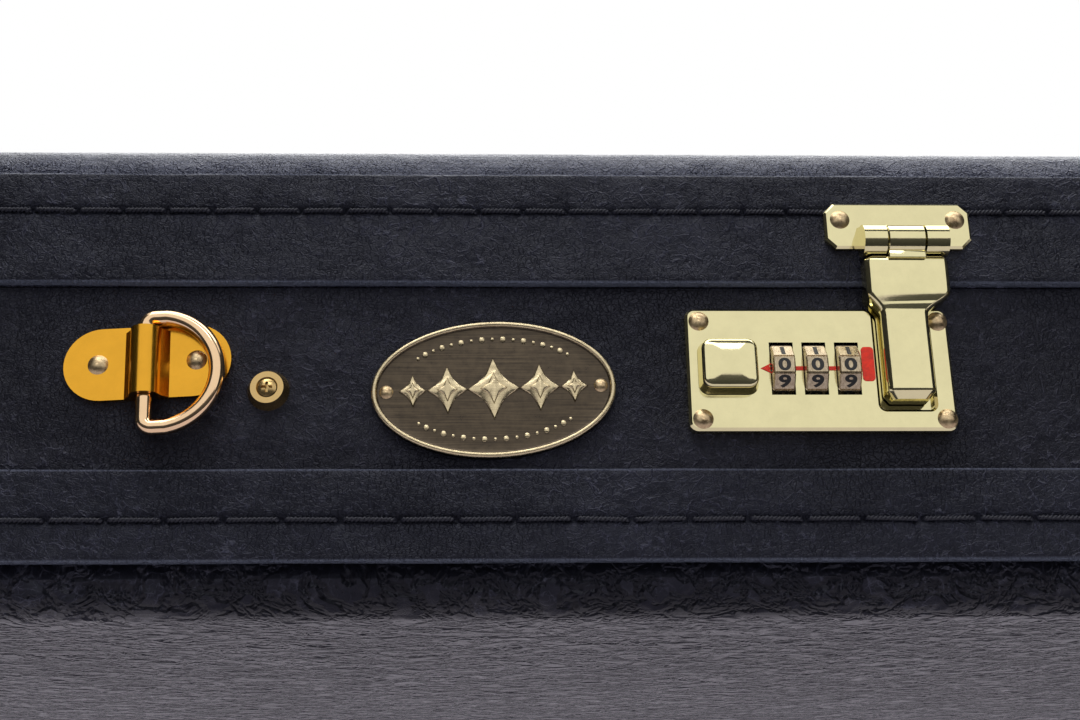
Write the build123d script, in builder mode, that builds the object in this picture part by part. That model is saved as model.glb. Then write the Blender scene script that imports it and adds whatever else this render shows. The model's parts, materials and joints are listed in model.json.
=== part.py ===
from build123d import *
import math
import os

os.makedirs("parts", exist_ok=True)

# The case lies flat and closed on its feet: X along its length, -Y the latch side, +Z up.
# Heights named *_height are measured up from the covering of the bottom.

# Case body, over its covering
case_length = 1050.0
case_width = 390.0
corner_radius = 45.0
base_side = 71.6
lid_side = 37.3
edge_radius = 10.0
crown_rise = 14.0
crown_end_rise = 45.0
crown_root = 1.0
parting_gap = 0.3
skin = 1.2
board = 6.0

# Sewn bands round both halves
band_thickness = 2.0
base_band_height = 10.0
base_band_width = 19.8
lid_band_drop = 0.35
lid_band_width = 26.9

# Feet
foot_height = 10.0
foot_radius = 11.0
foot_x = 430.0
foot_y = 130.0
spine_foot_reach = 12.0
spine_foot_radius = 9.0
spine_foot_height = 45.0

# Padding
pad_thickness = 12.0
liner_top_height = 66.0
valance_thickness = 2.0
valance_rise = 5.0
valance_depth = 10.6
lining_gap = 0.5
neck_half_width = 38.0
head_half_width = 92.0
head_well_length = 165.0
well_wall = 9.0
pocket_length = 265.0
partition_thickness = 10.0
saddle_thickness = 6.0

# Fasteners
rivet_radius = 2.2
rivet_rise = 1.0
rivet_shank = 1.3
hole_clearance = 0.05

# Latches: plate on the base, hasp hinged on the lid
lock_x = -120.0
left_latch_x = -430.0
right_latch_x = 262.0
lock_height = 51.6
lock_plate_length = 57.5
plain_plate_shortening = 21.0
lock_plate_width = 27.8
lock_plate_depth = 3.0
lock_sheet = 1.0
plate_corner = 2.0
button_from_left = 8.75
button_length = 11.8
button_width = 10.9
button_depth = 5.0
button_travel = 2.2
button_stem = 5.0
slide_gap = 0.15
bolt_thickness = 1.2
bolt_width = 2.2

# Code wheels
wheel_count = 3
wheel_pitch = 7.1
wheel_width = 4.8
wheel_radius = 6.2
wheel_proud = 3.1
wheel_side_gap = 0.2
wheel_offset = -1.1
shaft_radius = 1.2
running_gap = 0.05
housing_sheet = 0.8
housing_half_width = 8.2
housing_depth = 8.4
index_mark_length = 2.7
index_mark_width = 7.8
paint = 0.15

# Hasp
hasp_from_right = 8.85
hasp_head_length = 18.5
hasp_arm_length = 10.4
hasp_arm_shift = -1.3
hasp_reach = 36.3
channel_side_gap = 0.4
channel_left_gap = 0.9
hasp_axis_height = 80.1
hasp_axis_depth = 6.5
barrel_radius = 3.6
pin_radius = 1.5
knuckle_gap = 0.25
middle_knuckle = 8.2
hasp_plate_length = 32.8
hasp_plate_width = 11.0
hasp_plate_sheet = 1.6
hasp_plate_chamfer = 2.2
hasp_plate_drop = 0.3
knuckle_web_rise = 4.5
knuckle_clearance = 0.4
head_clearance = 0.35
head_over_band = 1.2
head_side_play = 0.1
arm_over_plate = 4.0
hasp_rivet_spacing = 25.9
hasp_rivet_height = 86.7

# Back hinges
hinge_spots = (-330.0, 0.0, 330.0)
hinge_length = 62.0
hinge_leaf_width = 19.0
hinge_sheet = 1.2
hinge_barrel_radius = 3.2
hinge_pin_radius = 1.6
hinge_knuckle = 14.0
hinge_screw_spacing = 40.0

# Strap rings
ring_x = -264.6
right_ring_x = 404.0
ring_height = 53.6
ring_plate_length = 35.7
ring_plate_width = 16.3
ring_plate_sheet = 1.2
ring_plate_tilt = 3.1
ring_rivet_spacing = 21.0
ring_wire_radius = 1.75
ring_bar_length = 24.6
ring_reach = 15.2
ring_drop = 3.0
ring_bend = 2.0
loop_gap = 0.3
loop_skirt = 9.0
loop_shortening = 1.2

# Badge and partition screws
badge_x = -190.3
badge_height = 47.5
badge_length = 52.4
badge_width = 30.7
badge_thickness = 1.5
badge_rim = 1.1
badge_tilt = 1.95
badge_screw_spacing = 46.0
badge_screw_radius = 1.5
partition_x = -238.6
partition_screw_height = 47.6
cup_radius = 4.55
cup_rise = 2.4
cup_screw_radius = 2.0
cup_screw_shank = 1.1

# Handle
handle_x = 60.0
handle_span = 156.0
handle_pivot_height = 58.0
handle_pivot_depth = 12.0
handle_drop = 34.0
handle_core_radius = 2.5
handle_bend = 9.0
grip_length = 117.0
grip_width = 24.0
grip_thickness = 18.0
grip_end_scale = 0.62
eye_radius = 5.0
eye_length = 10.0
bracket_length = 30.0
bracket_width = 24.0
bracket_sheet = 1.6
bracket_rivet_spacing = 20.0

# Places that follow from the sizes above
handle_reach = handle_pivot_depth + grip_thickness / 2
mid_y = (handle_reach - spine_foot_reach) / 2
front_y = mid_y - case_width / 2
back_y = mid_y + case_width / 2
bottom_z = foot_height
wall = skin + board
lid_split_height = base_side + lid_side - edge_radius
lock_top = lock_plate_width / 2
hinge_axis_depth = band_thickness + hinge_barrel_radius + 0.3
shaft_depth = lock_plate_depth + wheel_proud - wheel_radius
base_top = base_side - parting_gap / 2
lid_bottom = base_side + parting_gap / 2
lid_band_low = base_side + lid_band_drop
floor_height = wall + pad_thickness
liner_inset = wall + valance_thickness + lining_gap


def level(height):
    """Flat plane over the case's middle, at a height above the bottom covering."""
    return Plane((0, mid_y, bottom_z + height))


def front_plane(x=0.0, height=0.0, depth=0.0):
    """Plane on the latch side, facing out: local x is X, local y is up."""
    origin = (x, front_y - depth, bottom_z + height)
    return Plane(origin, x_dir=(1, 0, 0), z_dir=(0, -1, 0))


def back_plane(x=0.0, height=0.0, depth=0.0):
    """Plane on the hinge side, facing out: local y is up."""
    origin = (x, back_y + depth, bottom_z + height)
    return Plane(origin, x_dir=(-1, 0, 0), z_dir=(0, 1, 0))


def side_plane(x, height, depth):
    """Plane across the length, facing +X: local x is +Y, local y is up, origin out of the latch side."""
    return Plane((x, front_y - depth, bottom_z + height), x_dir=(0, 1, 0), z_dir=(1, 0, 0))


def back_side_plane(x, height, depth):
    """The same, with its origin out of the hinge side."""
    return Plane((x, back_y + depth, bottom_z + height), x_dir=(0, 1, 0), z_dir=(1, 0, 0))


def keep(piece, name):
    """Label a finished piece and write it."""
    piece.label = name
    export_step(piece, f"parts/{name}.step")


def outline(inset, mode=Mode.ADD):
    """Rounded plan of the case, drawn in by inset."""
    corner = max(corner_radius - inset, 4.0)
    RectangleRounded(case_length - 2 * inset, case_width - 2 * inset, corner, mode=mode)


def base_form(inset):
    """Outer shape of the base, drawn in by inset."""
    with BuildPart() as form:
        with BuildSketch(level(inset)):
            outline(inset)
        extrude(amount=base_top - inset)
        fillet(form.faces().sort_by(Axis.Z)[0].edges(), max(edge_radius - inset, 1.5))
    return form.part


def lid_form(inset):
    """Outer shape of the lid, drawn in by inset: straight sides, a round edge and a low crown."""
    flat_top = base_side + lid_side - inset
    crown_half_width = case_width / 2 - edge_radius
    crown_half_length = case_length / 2 - edge_radius
    along = Plane((0, mid_y, bottom_z + flat_top), x_dir=(0, 1, 0), z_dir=(1, 0, 0))
    across = Plane((0, mid_y, bottom_z + flat_top), x_dir=(1, 0, 0), z_dir=(0, -1, 0))
    with BuildPart() as crown:
        with BuildSketch(along):
            with BuildLine():
                ThreePointArc((-crown_half_width, 0), (0, crown_rise), (crown_half_width, 0))
                Polyline(
                    (crown_half_width, 0),
                    (crown_half_width, -crown_root),
                    (-crown_half_width, -crown_root),
                    (-crown_half_width, 0),
                )
            make_face()
        extrude(amount=case_length, both=True)
        with BuildSketch(across):
            with BuildLine():
                ThreePointArc((-crown_half_length, 0), (0, crown_end_rise), (crown_half_length, 0))
                Polyline(
                    (crown_half_length, 0),
                    (crown_half_length, -2 * crown_root),
                    (-crown_half_length, -2 * crown_root),
                    (-crown_half_length, 0),
                )
            make_face()
        extrude(amount=case_width, both=True, mode=Mode.INTERSECT)
    with BuildPart() as crown_plan:
        with BuildSketch(level(flat_top - crown_root)):
            outline(edge_radius + crown_root)
        extrude(amount=crown_root + 2 * crown_rise)
        add(crown.part, mode=Mode.INTERSECT)
    with BuildPart() as form:
        with BuildSketch(level(lid_bottom)):
            outline(inset)
        extrude(amount=flat_top - lid_bottom)
        fillet(form.faces().sort_by(Axis.Z)[-1].edges(), max(edge_radius - inset, 1.5))
        add(crown_plan.part)
    return form.part


def ring(low, width, outer_inset, inner_inset):
    """A closed band that follows the case's wall, between two insets."""
    with BuildPart() as band:
        with BuildSketch(level(low)):
            outline(outer_inset)
            outline(inner_inset, mode=Mode.SUBTRACT)
        extrude(amount=width)
    return band.part


def cap(radius, rise):
    """A domed head standing on the plane in use."""
    sphere = (radius**2 + rise**2) / (2 * rise)
    low = math.degrees(math.asin((sphere - rise) / sphere))
    Sphere(sphere, arc_size1=low, align=(Align.CENTER, Align.CENTER, Align.MIN))


def through_holes(radius, length):
    """Round holes from the plane in use inward."""
    Cylinder(radius, length, align=(Align.CENTER, Align.CENTER, Align.MAX), mode=Mode.SUBTRACT)


def shank(radius, length):
    Cylinder(radius, length, align=(Align.CENTER, Align.CENTER, Align.MAX))


# Layout of one latch, all measured from its plate's middle


class Latch:
    def __init__(self, x, shortening, wheels):
        self.x = x
        self.wheels = wheels
        self.length = lock_plate_length - shortening
        self.left = -self.length / 2
        self.right = self.length / 2
        self.button = self.left + button_from_left
        self.hasp = self.right - hasp_from_right
        self.arm = self.hasp + hasp_arm_shift
        self.channel_left = self.arm - hasp_arm_length / 2 - channel_left_gap
        self.channel_right = self.arm + hasp_arm_length / 2 + channel_side_gap
        self.rivet_left = self.left + 2.95
        self.rivet_right = self.right - 2.25
        self.rivet_up = lock_top - 3.0
        self.rivet_down = -lock_top + 2.5

    def rivets(self):
        """Rivet spots as X and height."""
        spots = []
        for x in (self.rivet_left, self.rivet_right):
            for rise in (self.rivet_up, self.rivet_down):
                spots.append((self.x + x, lock_height + rise))
        return spots


wheel_spots = [wheel_offset + (i - (wheel_count - 1) / 2) * wheel_pitch for i in range(wheel_count)]
combination = Latch(lock_x, 0.0, wheel_spots)
left_latch = Latch(left_latch_x, plain_plate_shortening, [])
right_latch = Latch(right_latch_x, plain_plate_shortening, [])
latches = {"combination": combination, "left": left_latch, "right": right_latch}
arm_end = hasp_axis_height - hasp_reach - lock_height
channel_end = arm_end - 1.4

# Spots of everything that is fastened through the walls
latch_rivet_spots = [spot for latch in latches.values() for spot in latch.rivets()]
ring_spots = {"left": ring_x, "right": right_ring_x}


def tilted(x, height, offset, tilt):
    """A spot at an offset along a line tilted about its middle."""
    turn = math.radians(tilt)
    return (x + offset * math.cos(turn), height + offset * math.sin(turn))


ring_rivet_spots = []
for spot in ring_spots.values():
    for side in (-1, 1):
        ring_rivet_spots.append(tilted(spot, ring_height, side * ring_rivet_spacing / 2, ring_plate_tilt))
badge_screw_spots = [tilted(badge_x, badge_height, side * badge_screw_spacing / 2, badge_tilt) for side in (-1, 1)]
bracket_spots = [handle_x - handle_span / 2, handle_x + handle_span / 2]
bracket_rivet_spots = []
for spot in bracket_spots:
    for side in (-1, 1):
        bracket_rivet_spots.append((spot + side * bracket_rivet_spacing / 2, handle_pivot_height + 7.5))
        bracket_rivet_spots.append((spot + side * bracket_rivet_spacing / 2, handle_pivot_height - 7.5))
hasp_plate_rivet_spots = []
for latch in latches.values():
    for side in (-1, 1):
        hasp_plate_rivet_spots.append((latch.x + latch.hasp + side * hasp_rivet_spacing / 2, hasp_rivet_height))
hinge_screw_xs = [x + side * hinge_screw_spacing / 2 for x in hinge_spots for side in (-1, 1)]
base_hinge_screw_height = base_side - 13.0
lid_hinge_screw_height = base_side + 13.0


wall_cut = wall + band_thickness + 4
housing_length = (wheel_count - 1) * wheel_pitch + wheel_width + 2 * (0.5 + housing_sheet)
with BuildPart() as base_cuts:
    with Locations(front_plane(depth=band_thickness + 1)):
        with Locations(*latch_rivet_spots, *ring_rivet_spots, *bracket_rivet_spots):
            shank(rivet_shank + hole_clearance, wall_cut)
        with Locations(*badge_screw_spots, (partition_x, partition_screw_height)):
            shank(cup_screw_shank + hole_clearance, wall_cut)
    with Locations(back_plane(depth=1)):
        with Locations(*[(x, base_hinge_screw_height) for x in hinge_screw_xs]):
            shank(cup_screw_shank + hole_clearance, wall_cut)
        with Locations((-partition_x, partition_screw_height)):
            shank(cup_screw_shank + hole_clearance, wall_cut)
    with BuildSketch(front_plane(lock_x + wheel_offset, lock_height, 1.0)):
        Rectangle(housing_length + 0.2, 2 * housing_half_width + 0.2)
    extrude(amount=-wall_cut)

with BuildPart() as lid_cuts:
    with Locations(front_plane(depth=band_thickness + 1)):
        with Locations(*hasp_plate_rivet_spots):
            shank(rivet_shank + hole_clearance, wall_cut)
    with Locations(back_plane(depth=band_thickness + 1)):
        with Locations(*[(x, lid_hinge_screw_height) for x in hinge_screw_xs]):
            shank(cup_screw_shank + hole_clearance, wall_cut)

# Base: plywood wall, bottom panel and covering
base_inner = base_form(wall)
base_outer = base_form(skin)
panel_height = 13.0
with BuildPart() as base_rim:
    add(base_outer)
    add(base_inner, mode=Mode.SUBTRACT)
    with BuildSketch(level(-1)):
        Rectangle(2 * case_length, 2 * case_width)
    extrude(amount=panel_height + 1, mode=Mode.SUBTRACT)
    add(base_cuts.part, mode=Mode.SUBTRACT)
keep(base_rim.part, "base_rim")

with BuildPart() as base_panel:
    add(base_outer)
    add(base_inner, mode=Mode.SUBTRACT)
    with BuildSketch(level(panel_height)):
        Rectangle(2 * case_length, 2 * case_width)
    extrude(amount=base_side, mode=Mode.SUBTRACT)
keep(base_panel.part, "base_panel")

with BuildPart() as base_skin:
    add(base_form(0))
    add(base_outer, mode=Mode.SUBTRACT)
    add(base_cuts.part, mode=Mode.SUBTRACT)
keep(base_skin.part, "base_skin")

keep(ring(base_band_height, base_band_width, -band_thickness, 0), "base_band")

# Base: the inner lip that guides the lid
with BuildPart() as valance:
    with BuildSketch(level(base_side - valance_depth)):
        outline(wall)
    extrude(amount=valance_depth)
    with BuildSketch(level(base_side)):
        outline(wall + lining_gap)
    extrude(amount=valance_rise)
    with BuildSketch(level(base_side - valance_depth)):
        outline(wall + valance_thickness)
    extrude(amount=valance_depth + valance_rise, mode=Mode.SUBTRACT)
keep(valance.part, "valance")

# Base: floor pad and the two blocks of padding with the wells
with BuildPart() as floor_pad:
    with BuildSketch(level(wall)):
        outline(wall + 3.0)
    extrude(amount=pad_thickness)
keep(floor_pad.part, "floor_pad")

inner_half_length = case_length / 2 - liner_inset
partition_left = partition_x - partition_thickness / 2
partition_right = partition_x + partition_thickness / 2
liner_half_width = case_width / 2 - liner_inset
body_well_start = 85.0
well_length = inner_half_length - well_wall - body_well_start
pocket_start = partition_right + well_wall
pocket_half_width = (case_width / 2 - liner_inset - neck_half_width - 3 * well_wall / 2) / 2
pocket_middle = neck_half_width + well_wall / 2 + well_wall / 2 + pocket_half_width


with BuildPart() as body_block:
    with BuildSketch(level(floor_height)):
        outline(liner_inset)
        with Locations((partition_right - case_length, 0)):
            Rectangle(2 * case_length, 2 * case_width, mode=Mode.SUBTRACT)
    extrude(amount=liner_top_height - floor_height)
    with BuildSketch(level(floor_height)):
        with BuildLine():
            Spline(
                (body_well_start, neck_half_width),
                (body_well_start + 0.16 * well_length, liner_half_width * 0.72),
                (body_well_start + 0.42 * well_length, liner_half_width * 0.60),
                (body_well_start + 0.70 * well_length, liner_half_width * 0.82),
                (body_well_start + 0.92 * well_length, liner_half_width * 0.58),
                (body_well_start + well_length, 0),
                tangents=((0.4, 1), (0, -1)),
            )
            mirror(about=Plane.XZ)
            Line((body_well_start, neck_half_width), (body_well_start, -neck_half_width))
        make_face()
        with Locations(((body_well_start + partition_right) / 2, 0)):
            Rectangle(body_well_start - partition_right + 2, 2 * neck_half_width)
        with Locations(
            (pocket_start + pocket_length / 2, pocket_middle),
            (pocket_start + pocket_length / 2, -pocket_middle),
        ):
            RectangleRounded(pocket_length, 2 * pocket_half_width, 10)
    extrude(amount=liner_top_height, mode=Mode.SUBTRACT)
keep(body_block.part, "body_block")

with BuildPart() as head_block:
    with BuildSketch(level(floor_height)):
        outline(liner_inset)
        with Locations((partition_left + case_length, 0)):
            Rectangle(2 * case_length, 2 * case_width, mode=Mode.SUBTRACT)
    extrude(amount=liner_top_height - floor_height)
    with BuildSketch(level(floor_height)):
        with Locations((partition_left, 0)):
            Rectangle(2 * (inner_half_length + partition_left - 2 * well_wall), 2 * neck_half_width)
        with Locations((-inner_half_length + 2 * well_wall + head_well_length / 2, 0)):
            RectangleRounded(head_well_length, 2 * head_half_width, 25)
    extrude(amount=liner_top_height, mode=Mode.SUBTRACT)
keep(head_block.part, "head_block")

# Base: partition board under the neck, and its saddle
partition_low = 44.0
with BuildPart() as neck_partition:
    with BuildSketch(level(floor_height)):
        with Locations((partition_x, 0)):
            Rectangle(partition_thickness, case_width - 2 * wall)
    extrude(amount=liner_top_height - 4 - floor_height)
    with BuildSketch(Plane((partition_left, mid_y, bottom_z + partition_low), x_dir=(0, 1, 0), z_dir=(1, 0, 0))):
        with Locations((0, 30)):
            RectangleRounded(2 * neck_half_width, 60, 12)
    extrude(amount=partition_thickness, mode=Mode.SUBTRACT)
    for side in (-1, 1):
        with BuildSketch(level(base_side - valance_depth)):
            with Locations((partition_x, side * (case_width / 2 - wall))):
                Rectangle(2 * partition_thickness, 2 * (valance_thickness + lining_gap))
        extrude(amount=20, mode=Mode.SUBTRACT)
    screw_bore = case_width + 20
    with Locations(front_plane(partition_x, partition_screw_height)):
        through_holes(cup_screw_shank + hole_clearance, screw_bore)
keep(neck_partition.part, "neck_partition")

with BuildPart() as neck_saddle:
    saddle_plane = Plane((partition_left - 14, mid_y, bottom_z + partition_low), x_dir=(0, 1, 0), z_dir=(1, 0, 0))
    with BuildSketch(saddle_plane):
        with Locations((0, 15)):
            RectangleRounded(2 * neck_half_width - 1, 30, 12)
        with Locations((0, 15 + saddle_thickness)):
            RectangleRounded(2 * neck_half_width - 1 - 2 * saddle_thickness, 30, 8, mode=Mode.SUBTRACT)
        with Locations((0, 36)):
            Rectangle(100, 40, mode=Mode.SUBTRACT)
    extrude(amount=partition_thickness + 28)
keep(neck_saddle.part, "neck_saddle")

# Lid: plywood wall, crowned panel, covering and padding
lid_inner = lid_form(wall)
lid_outer = lid_form(skin)
with BuildPart() as lid_rim:
    add(ring(lid_bottom, lid_split_height - lid_bottom, skin, wall))
    add(lid_cuts.part, mode=Mode.SUBTRACT)
keep(lid_rim.part, "lid_rim")

with BuildPart() as lid_panel:
    add(lid_outer)
    add(lid_inner, mode=Mode.SUBTRACT)
    with BuildSketch(level(0)):
        Rectangle(2 * case_length, 2 * case_width)
    extrude(amount=lid_split_height, mode=Mode.SUBTRACT)
keep(lid_panel.part, "lid_panel")

with BuildPart() as lid_skin:
    add(lid_form(0))
    add(lid_outer, mode=Mode.SUBTRACT)
    add(lid_cuts.part, mode=Mode.SUBTRACT)
keep(lid_skin.part, "lid_skin")

with BuildPart() as lid_band:
    add(ring(lid_band_low, lid_band_width, -band_thickness, 0))
    add(lid_cuts.part, mode=Mode.SUBTRACT)
keep(lid_band.part, "lid_band")

with BuildPart() as lid_pad:
    add(lid_inner)
    with BuildSketch(level(0)):
        Rectangle(2 * case_length, 2 * case_width)
    extrude(amount=lid_split_height, mode=Mode.SUBTRACT)
keep(lid_pad.part, "lid_pad")

lid_lining_low = base_side + valance_rise + 1.0
keep(ring(lid_lining_low, lid_split_height - lid_lining_low, wall, wall + 3.0), "lid_wall_lining")

# Feet
with BuildPart(Plane((0, mid_y, 0))) as bottom_feet:
    with GridLocations(2 * foot_x, 2 * foot_y, 2, 2):
        Cone(
            foot_radius - 2.5,
            foot_radius,
            foot_height,
            align=(Align.CENTER, Align.CENTER, Align.MIN),
        )
keep(bottom_feet.part, "bottom_feet")

with BuildPart(back_plane(height=spine_foot_height)) as base_spine_feet:
    with Locations(*[(x, 0) for x in (-foot_x, -foot_x / 2.6, foot_x / 2.6, foot_x)]):
        Cylinder(spine_foot_radius, spine_foot_reach, align=(Align.CENTER, Align.CENTER, Align.MIN))
    fillet(base_spine_feet.faces().group_by(Axis.Y)[-1].edges(), 3.5)
keep(base_spine_feet.part, "base_spine_feet")

lid_spine_reach = spine_foot_reach - band_thickness
lid_spine_height = lid_band_low + lid_band_width / 2
with BuildPart(back_plane(height=lid_spine_height, depth=band_thickness)) as lid_spine_feet:
    with Locations((-foot_x, 0), (foot_x, 0)):
        Cylinder(spine_foot_radius, lid_spine_reach, align=(Align.CENTER, Align.CENTER, Align.MIN))
    fillet(lid_spine_feet.faces().group_by(Axis.Y)[-1].edges(), 3.5)
keep(lid_spine_feet.part, "lid_spine_feet")


# Back hinges
def hinge_leaf(x, face_depth, direction, knuckles):
    """One leaf against the wall with its knuckles; direction +1 goes up, -1 down from the axis."""
    reach = hinge_axis_depth - face_depth
    near = hinge_barrel_radius + 0.8
    with BuildPart() as leaf:
        with BuildSketch(back_plane(x, base_side, face_depth)):
            with Locations((0, direction * (hinge_leaf_width + near) / 2)):
                RectangleRounded(hinge_length, hinge_leaf_width - near, 2.5)
        extrude(amount=hinge_sheet)
        for offset, length in knuckles:
            with BuildSketch(back_side_plane(x + offset - length / 2, base_side, hinge_axis_depth)):
                with BuildLine():
                    Polyline(
                        (0, 0),
                        (0, direction * hinge_barrel_radius),
                        (-reach + hinge_sheet, direction * (near + 1.0)),
                        (-reach, direction * (near + 1.0)),
                        (-reach, direction * (near - 1.6)),
                        (-hinge_barrel_radius, 0),
                        close=True,
                    )
                make_face()
                Circle(hinge_barrel_radius)
            extrude(amount=length)
            with BuildSketch(back_side_plane(x + offset - length / 2, base_side, hinge_axis_depth)):
                Circle(hinge_pin_radius + (running_gap if direction > 0 else 0))
            extrude(amount=length, mode=Mode.SUBTRACT)
        height = (lid_hinge_screw_height if direction > 0 else base_hinge_screw_height) - base_side
        with Locations(back_plane(x, base_side, face_depth + hinge_sheet)):
            with Locations((-hinge_screw_spacing / 2, height), (hinge_screw_spacing / 2, height)):
                through_holes(cup_screw_shank + hole_clearance, 4)
    return leaf.part


outer_knuckle_offset = hinge_knuckle + 0.3
base_knuckles = [(-outer_knuckle_offset, hinge_knuckle), (outer_knuckle_offset, hinge_knuckle)]
lid_knuckles = [(0.0, hinge_knuckle)]
with BuildPart() as base_hinge_leaves:
    for spot in hinge_spots:
        add(hinge_leaf(spot, 0.0, -1, base_knuckles))
keep(base_hinge_leaves.part, "base_hinge_leaves")

with BuildPart() as lid_hinge_leaves:
    for spot in hinge_spots:
        add(hinge_leaf(spot, band_thickness, 1, lid_knuckles))
keep(lid_hinge_leaves.part, "lid_hinge_leaves")

hinge_pin_length = 3 * hinge_knuckle + 0.6
with BuildPart() as hinge_pins:
    for spot in hinge_spots:
        with BuildSketch(back_side_plane(spot - hinge_pin_length / 2, base_side, hinge_axis_depth)):
            Circle(hinge_pin_radius)
        extrude(amount=hinge_pin_length)
keep(hinge_pins.part, "hinge_pins")


def hinge_screws(height, face_depth, shank_length):
    with BuildPart(back_plane(height=height, depth=face_depth + hinge_sheet)) as screws:
        with Locations(*[(x, 0) for x in hinge_screw_xs]):
            cap(2.6, 1.0)
            shank(cup_screw_shank, shank_length)
    return screws.part


keep(hinge_screws(base_hinge_screw_height, 0.0, hinge_sheet + wall), "base_hinge_screws")
lid_screw_length = hinge_sheet + band_thickness + wall
keep(hinge_screws(lid_hinge_screw_height, band_thickness, lid_screw_length), "lid_hinge_screws")


# Latches on the base
def lock_plate(latch):
    """Pressed plate: hollow under its face, with a channel, open at the top, for the hasp's arm."""
    face = front_plane(latch.x, lock_height)
    channel_length = latch.channel_right - latch.channel_left
    channel_middle = (latch.channel_left + latch.channel_right) / 2
    channel_height = lock_top - channel_end
    with BuildPart() as plate:
        with BuildSketch(face):
            RectangleRounded(latch.length, lock_plate_width, plate_corner)
        extrude(amount=lock_plate_depth)
        with BuildSketch(face.offset(lock_sheet)):
            with Locations((channel_middle, channel_end + channel_height / 2 + 2)):
                RectangleRounded(channel_length, channel_height + 4, 1.2)
        extrude(amount=lock_plate_depth, mode=Mode.SUBTRACT)
        corner = face.offset(lock_plate_depth / 2).from_local_coords((latch.channel_left, lock_top, 0))
        fillet(plate.edges().filter_by(Axis.Y).sort_by_distance(corner)[0], 2.2)
        chamfer(plate.faces().sort_by(Axis.Y)[0].edges(), 0.6)
        hollow_left = latch.left + lock_sheet + 0.4
        hollow_right = latch.channel_left - lock_sheet
        with BuildSketch(face):
            with Locations(((hollow_left + hollow_right) / 2, 0)):
                Rectangle(hollow_right - hollow_left, lock_plate_width - 2 * lock_sheet - 0.8)
        extrude(amount=lock_plate_depth - lock_sheet, mode=Mode.SUBTRACT)
        with BuildSketch(face):
            with Locations((latch.button - button_travel / 2, 0)):
                Rectangle(button_stem + button_travel + 0.4, button_stem + 0.4)
            for spot in latch.wheels:
                with Locations((spot, 0)):
                    Rectangle(wheel_width + 2 * wheel_side_gap, 2 * wheel_window)
        extrude(amount=lock_plate_depth, mode=Mode.SUBTRACT)
        rivet_spots = [(x - latch.x, height - lock_height) for x, height in latch.rivets()]
        with Locations(face.offset(lock_plate_depth)):
            with Locations(*rivet_spots):
                through_holes(rivet_shank + hole_clearance, 2 * lock_plate_depth)
    return plate.part


sheet_back = lock_plate_depth - lock_sheet
wheel_window = math.sqrt(wheel_radius**2 - (sheet_back - shaft_depth) ** 2) + 0.15
for latch_name, latch in latches.items():
    keep(lock_plate(latch), f"lock_plate_{latch_name}")

with BuildPart(front_plane(depth=lock_plate_depth)) as lock_plate_rivets:
    with Locations(*latch_rivet_spots):
        cap(rivet_radius, rivet_rise)
        shank(rivet_shank, lock_plate_depth + wall)
keep(lock_plate_rivets.part, "lock_plate_rivets")


def button(latch):
    """Pillow-faced button with flared sides, and its stem through the plate."""
    flare = math.degrees(math.atan(0.55 / button_depth))
    with BuildPart() as cap_part:
        with BuildSketch(front_plane(latch.x + latch.button, lock_height, lock_plate_depth + slide_gap)):
            RectangleRounded(button_length + 1.1, button_width + 1.1, 2.2)
        extrude(amount=button_depth, taper=flare)
        fillet(cap_part.faces().sort_by(Axis.Y)[0].edges(), 1.3)
        with BuildSketch(front_plane(latch.x + latch.button, lock_height, bolt_front)):
            Rectangle(button_stem, button_stem)
        extrude(amount=lock_plate_depth + slide_gap - bolt_front)
    return cap_part.part


def bolt(latch):
    """Bar that the button draws back: down from the stem, then along under the wheels."""
    tip = latch.channel_left - lock_sheet - 0.4
    bar_height = -wheel_radius - 0.7 - bolt_width
    with BuildPart() as bar:
        with BuildSketch(front_plane(latch.x, lock_height, bolt_front - bolt_thickness)):
            with BuildLine():
                left = latch.button - button_stem / 2
                right = latch.button + button_stem / 2
                Polyline(
                    (left, button_stem / 2),
                    (right, button_stem / 2),
                    (right, bar_height + bolt_width),
                    (tip, bar_height + bolt_width),
                    (tip, bar_height),
                    (left, bar_height),
                    close=True,
                )
            make_face()
        extrude(amount=bolt_thickness)
    return bar.part


bolt_front = lock_plate_depth - lock_sheet - 0.1
for latch_name, latch in latches.items():
    keep(button(latch), f"button_{latch_name}")
    keep(bolt(latch), f"bolt_{latch_name}")

with BuildPart() as return_springs:
    for latch in latches.values():
        spring_x = latch.button - button_stem / 2 - button_travel - 0.5
        with BuildSketch(front_plane(latch.x, lock_height)):
            with Locations((spring_x, 0)):
                Rectangle(0.4, 7.0)
        extrude(amount=sheet_back)
keep(return_springs.part, "return_springs")

# Code wheels, their shaft and housing
wheel_names = ["first", "second", "third"]
for wheel_name, spot in zip(wheel_names, wheel_spots):
    with BuildPart() as wheel:
        with BuildSketch(side_plane(lock_x + spot - wheel_width / 2, lock_height, shaft_depth)):
            RegularPolygon(wheel_radius, 10, rotation=18)
            with PolarLocations(wheel_radius, 10, start_angle=0):
                Circle(0.45, mode=Mode.SUBTRACT)
            Circle(shaft_radius + running_gap, mode=Mode.SUBTRACT)
        extrude(amount=wheel_width)
    keep(wheel.part, f"wheel_{wheel_name}")

with BuildPart() as wheel_shaft:
    with BuildSketch(side_plane(lock_x + wheel_offset - housing_length / 2, lock_height, shaft_depth)):
        Circle(shaft_radius)
    extrude(amount=housing_length)
keep(wheel_shaft.part, "wheel_shaft")

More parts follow.
